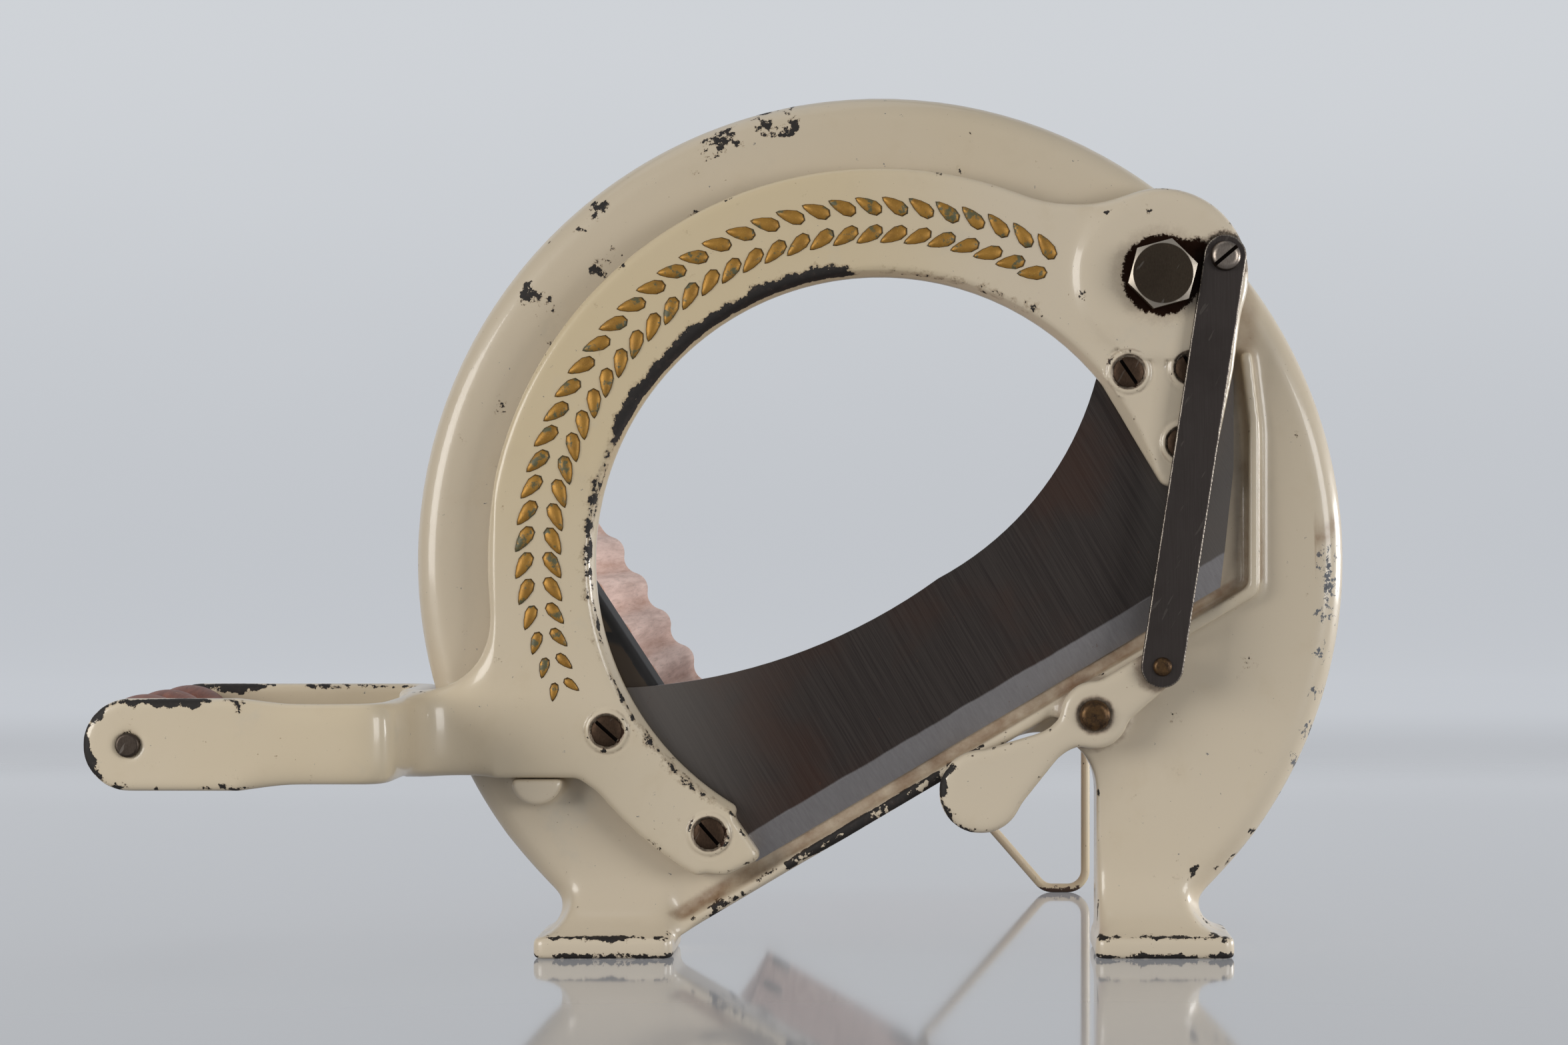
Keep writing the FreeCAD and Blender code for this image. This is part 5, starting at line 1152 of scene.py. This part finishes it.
class SLICER_OT_garland(bpy.types.Operator):
    """Lay a raised garland of kernels along the arm"""

    bl_idname = "slicer.garland"
    bl_label = "Garland"

    def execute(self, context):
        size = settings().slicer_garland
        recipe = Recipe("kernel_garland")
        long = recipe.size("Kernel length", size.kernel_length)
        wide = recipe.size("Kernel width", size.kernel_width)
        tall = recipe.size("Kernel height", size.kernel_height)
        ball = recipe.node("GeometryNodeMeshUVSphere", None,
                           {"Segments": 10, "Rings": 7, "Radius": 0.5}, "Mesh")
        kernel = recipe.changed("Transform", ball, Scale=recipe.combine(long, wide, tall * 2.0))
        place = recipe.node("GeometryNodeInputPosition")
        along = recipe.node("SeparateXYZ", None, {0: place})
        pinch = recipe.combine(1.0, 1.0 - along / long, 1.0)
        kernel = recipe.changed("SetPosition", kernel,
                                Position=recipe.vector("MULTIPLY", place, pinch))
        many = recipe.on_points(kernel, (0.0, -1.0, 0.0), (0.0, 1.0, 0.0), "GLOBAL",
                                Scale=recipe.attribute("grow"))
        middles, turns, grows = [], [], []
        for i in range(size.kernels):
            portion = (i + 0.5) / size.kernels
            angle = size.start + (size.end - size.start) * portion
            heading = angle + math.pi / 2
            for side in (-1, 1):
                lean = math.radians(30.0) * side
                small = 1.0 - 0.4 * max(0.0, portion - 0.85) / 0.15
                out = size.radius + side * size.spread * small
                middles.append((RING.x + out * math.cos(angle), ARM_FACE + 0.1 * MM,
                                RING.z + out * math.sin(angle)))
                turns.append(-(heading - lean))
                grows.append(small)
        points = loose_points("kernel_places", middles, turn=turns, grow=grows)
        mesh = recipe.run(points, many, FINISHES["gold"])
        mesh.shade_smooth()
        piece("kernel_garland", mesh, "arm", "cream_enamel", None)
        return {"FINISHED"}


# ---- studio ----------------------------------------------------------------

def area(name, place, target, wide, high, power, tint=(1.0, 1.0, 1.0)):
    lamp = bpy.data.lights.new(name, "AREA")
    lamp.shape = "RECTANGLE"
    lamp.size, lamp.size_y = wide, high
    lamp.energy = power
    lamp.color = tint
    obj = placed(name, lamp)
    obj.location = place
    obj.rotation_euler = (Vector(target) - Vector(place)).to_track_quat("-Z", "Y").to_euler()
    obj.visible_camera = False
    return obj


class SLICER_OT_stage(bpy.types.Operator):
    """Set up the floor, the backdrop, the lights and the camera"""

    bl_idname = "slicer.stage"
    bl_label = "Stage"

    def execute(self, context):
        studio = settings().slicer_studio
        f = Finish("pale_sweep", studio.floor, Specular_IOR_Level=0.5, Emission_Strength=1.0)
        wall = f.y.step(0.5, 1.5)
        f.paint(wall, studio.backdrop)
        height = f.z + (f.noise(0.002, 2.0) - 0.5) * 0.1
        glow = f.mix(height.step(-0.05, 0.85), studio.low_glow, studio.high_glow)
        finish = f.finish(Emission_Color=f.mix(wall, studio.floor_glow, glow),
                          Roughness=0.05 + wall * 0.75 + f.noise(0.01, 3.0) * 0.03)
        bend, flat, half_width = 2.0, 2.0, 7.0
        profile = [(-5.0, 0.0), (0.0, 0.0), (flat, 0.0)]
        profile += [(flat + bend * math.sin(math.radians(a)), bend - bend * math.cos(math.radians(a)))
                    for a in range(3, 91, 3)]
        profile.append((flat + bend, 6.0))
        corners = [(x, y, z) for y, z in profile for x in (-half_width, half_width)]
        mesh = bpy.data.meshes.new("sweep")
        mesh.from_pydata(corners, [], [(2 * i, 2 * i + 1, 2 * i + 3, 2 * i + 2)
                                       for i in range(len(profile) - 1)])
        mesh.shade_smooth()
        mesh.materials.append(finish)
        obj = placed("sweep", mesh)
        target = (RING.x, ARM_FACE, RING.z)
        lamps = [area("key", (-1.05, -0.95, 0.36), target, 0.8, 0.6, studio.key, (1.0, 0.98, 0.95)),
                 area("fill", (1.1, -0.95, 0.26), target, 0.6, 0.5, studio.fill),
                 area("low", (1.0, 0.2, 0.14), (RING.x, 0.1, 0.06), 0.5, 0.2, studio.low)]
        area("top", (-0.3, 0.1, 1.5), target, 1.2, 1.0, studio.top)
        # The side lamps would mirror in the floor as white boxes, so they leave it out.
        left_out = bpy.data.collections.new("left_out_by_side_lamps")
        left_out.objects.link(obj)
        left_out.collection_objects[0].light_linking.link_state = "EXCLUDE"
        for lamp in lamps:
            lamp.light_linking.receiver_collection = left_out
        world = bpy.data.worlds.new("studio")
        world.use_nodes = True
        sky = world.node_tree.nodes["Background"]
        sky.inputs["Color"].default_value = (0.93, 0.96, 1.0, 1.0)
        sky.inputs["Strength"].default_value = studio.sky
        context.scene.world = world
        context.scene.view_settings.view_transform = "Standard"
        camera = bpy.data.cameras.new("camera")
        camera.lens = studio.lens
        camera.sensor_width = 36.0
        camera.clip_start, camera.clip_end = 0.01, 20.0
        obj = placed("camera", camera)
        obj.location = (studio.camera_x, studio.camera_y, studio.camera_z)
        obj.rotation_euler = (math.pi / 2, 0.0, 0.0)
        camera.shift_x, camera.shift_y = studio.shift_x, studio.shift_y
        context.scene.camera = obj
        return {"FINISHED"}


class SLICER_PT_panel(bpy.types.Panel):
    """The slicer's pieces and settings"""

    bl_idname = "SLICER_PT_panel"
    bl_label = "Bread slicer"
    bl_space_type = "VIEW_3D"
    bl_region_type = "UI"
    bl_category = "Slicer"

    def draw(self, context):
        for step in STEPS:
            self.layout.operator("slicer." + step)
        for name, group in GROUPS.items():
            box = self.layout.box()
            for key in group.__annotations__:
                box.prop(getattr(context.scene, name), key)


GROUPS = {"slicer_casting": CastingSettings, "slicer_screws": ScrewSettings,
          "slicer_garland": GarlandSettings, "slicer_finish": FinishSettings,
          "slicer_studio": StudioSettings}
OPERATORS = (SLICER_OT_finishes, SLICER_OT_castings, SLICER_OT_flat_pieces, SLICER_OT_grip,
             SLICER_OT_screws, SLICER_OT_garland, SLICER_OT_stage)
STEPS = [operator.bl_idname.split(".")[1] for operator in OPERATORS]
CLASSES = (*GROUPS.values(), *OPERATORS, SLICER_PT_panel)


def register():
    for cls in CLASSES:
        bpy.utils.register_class(cls)
    for name, group in GROUPS.items():
        setattr(bpy.types.Scene, name, PointerProperty(type=group))


def unregister():
    for name in GROUPS:
        delattr(bpy.types.Scene, name)
    for cls in reversed(CLASSES):
        bpy.utils.unregister_class(cls)


def main():
    register()
    for step in STEPS:
        getattr(bpy.ops.slicer, step)()


if __name__ == "__main__":
    main()
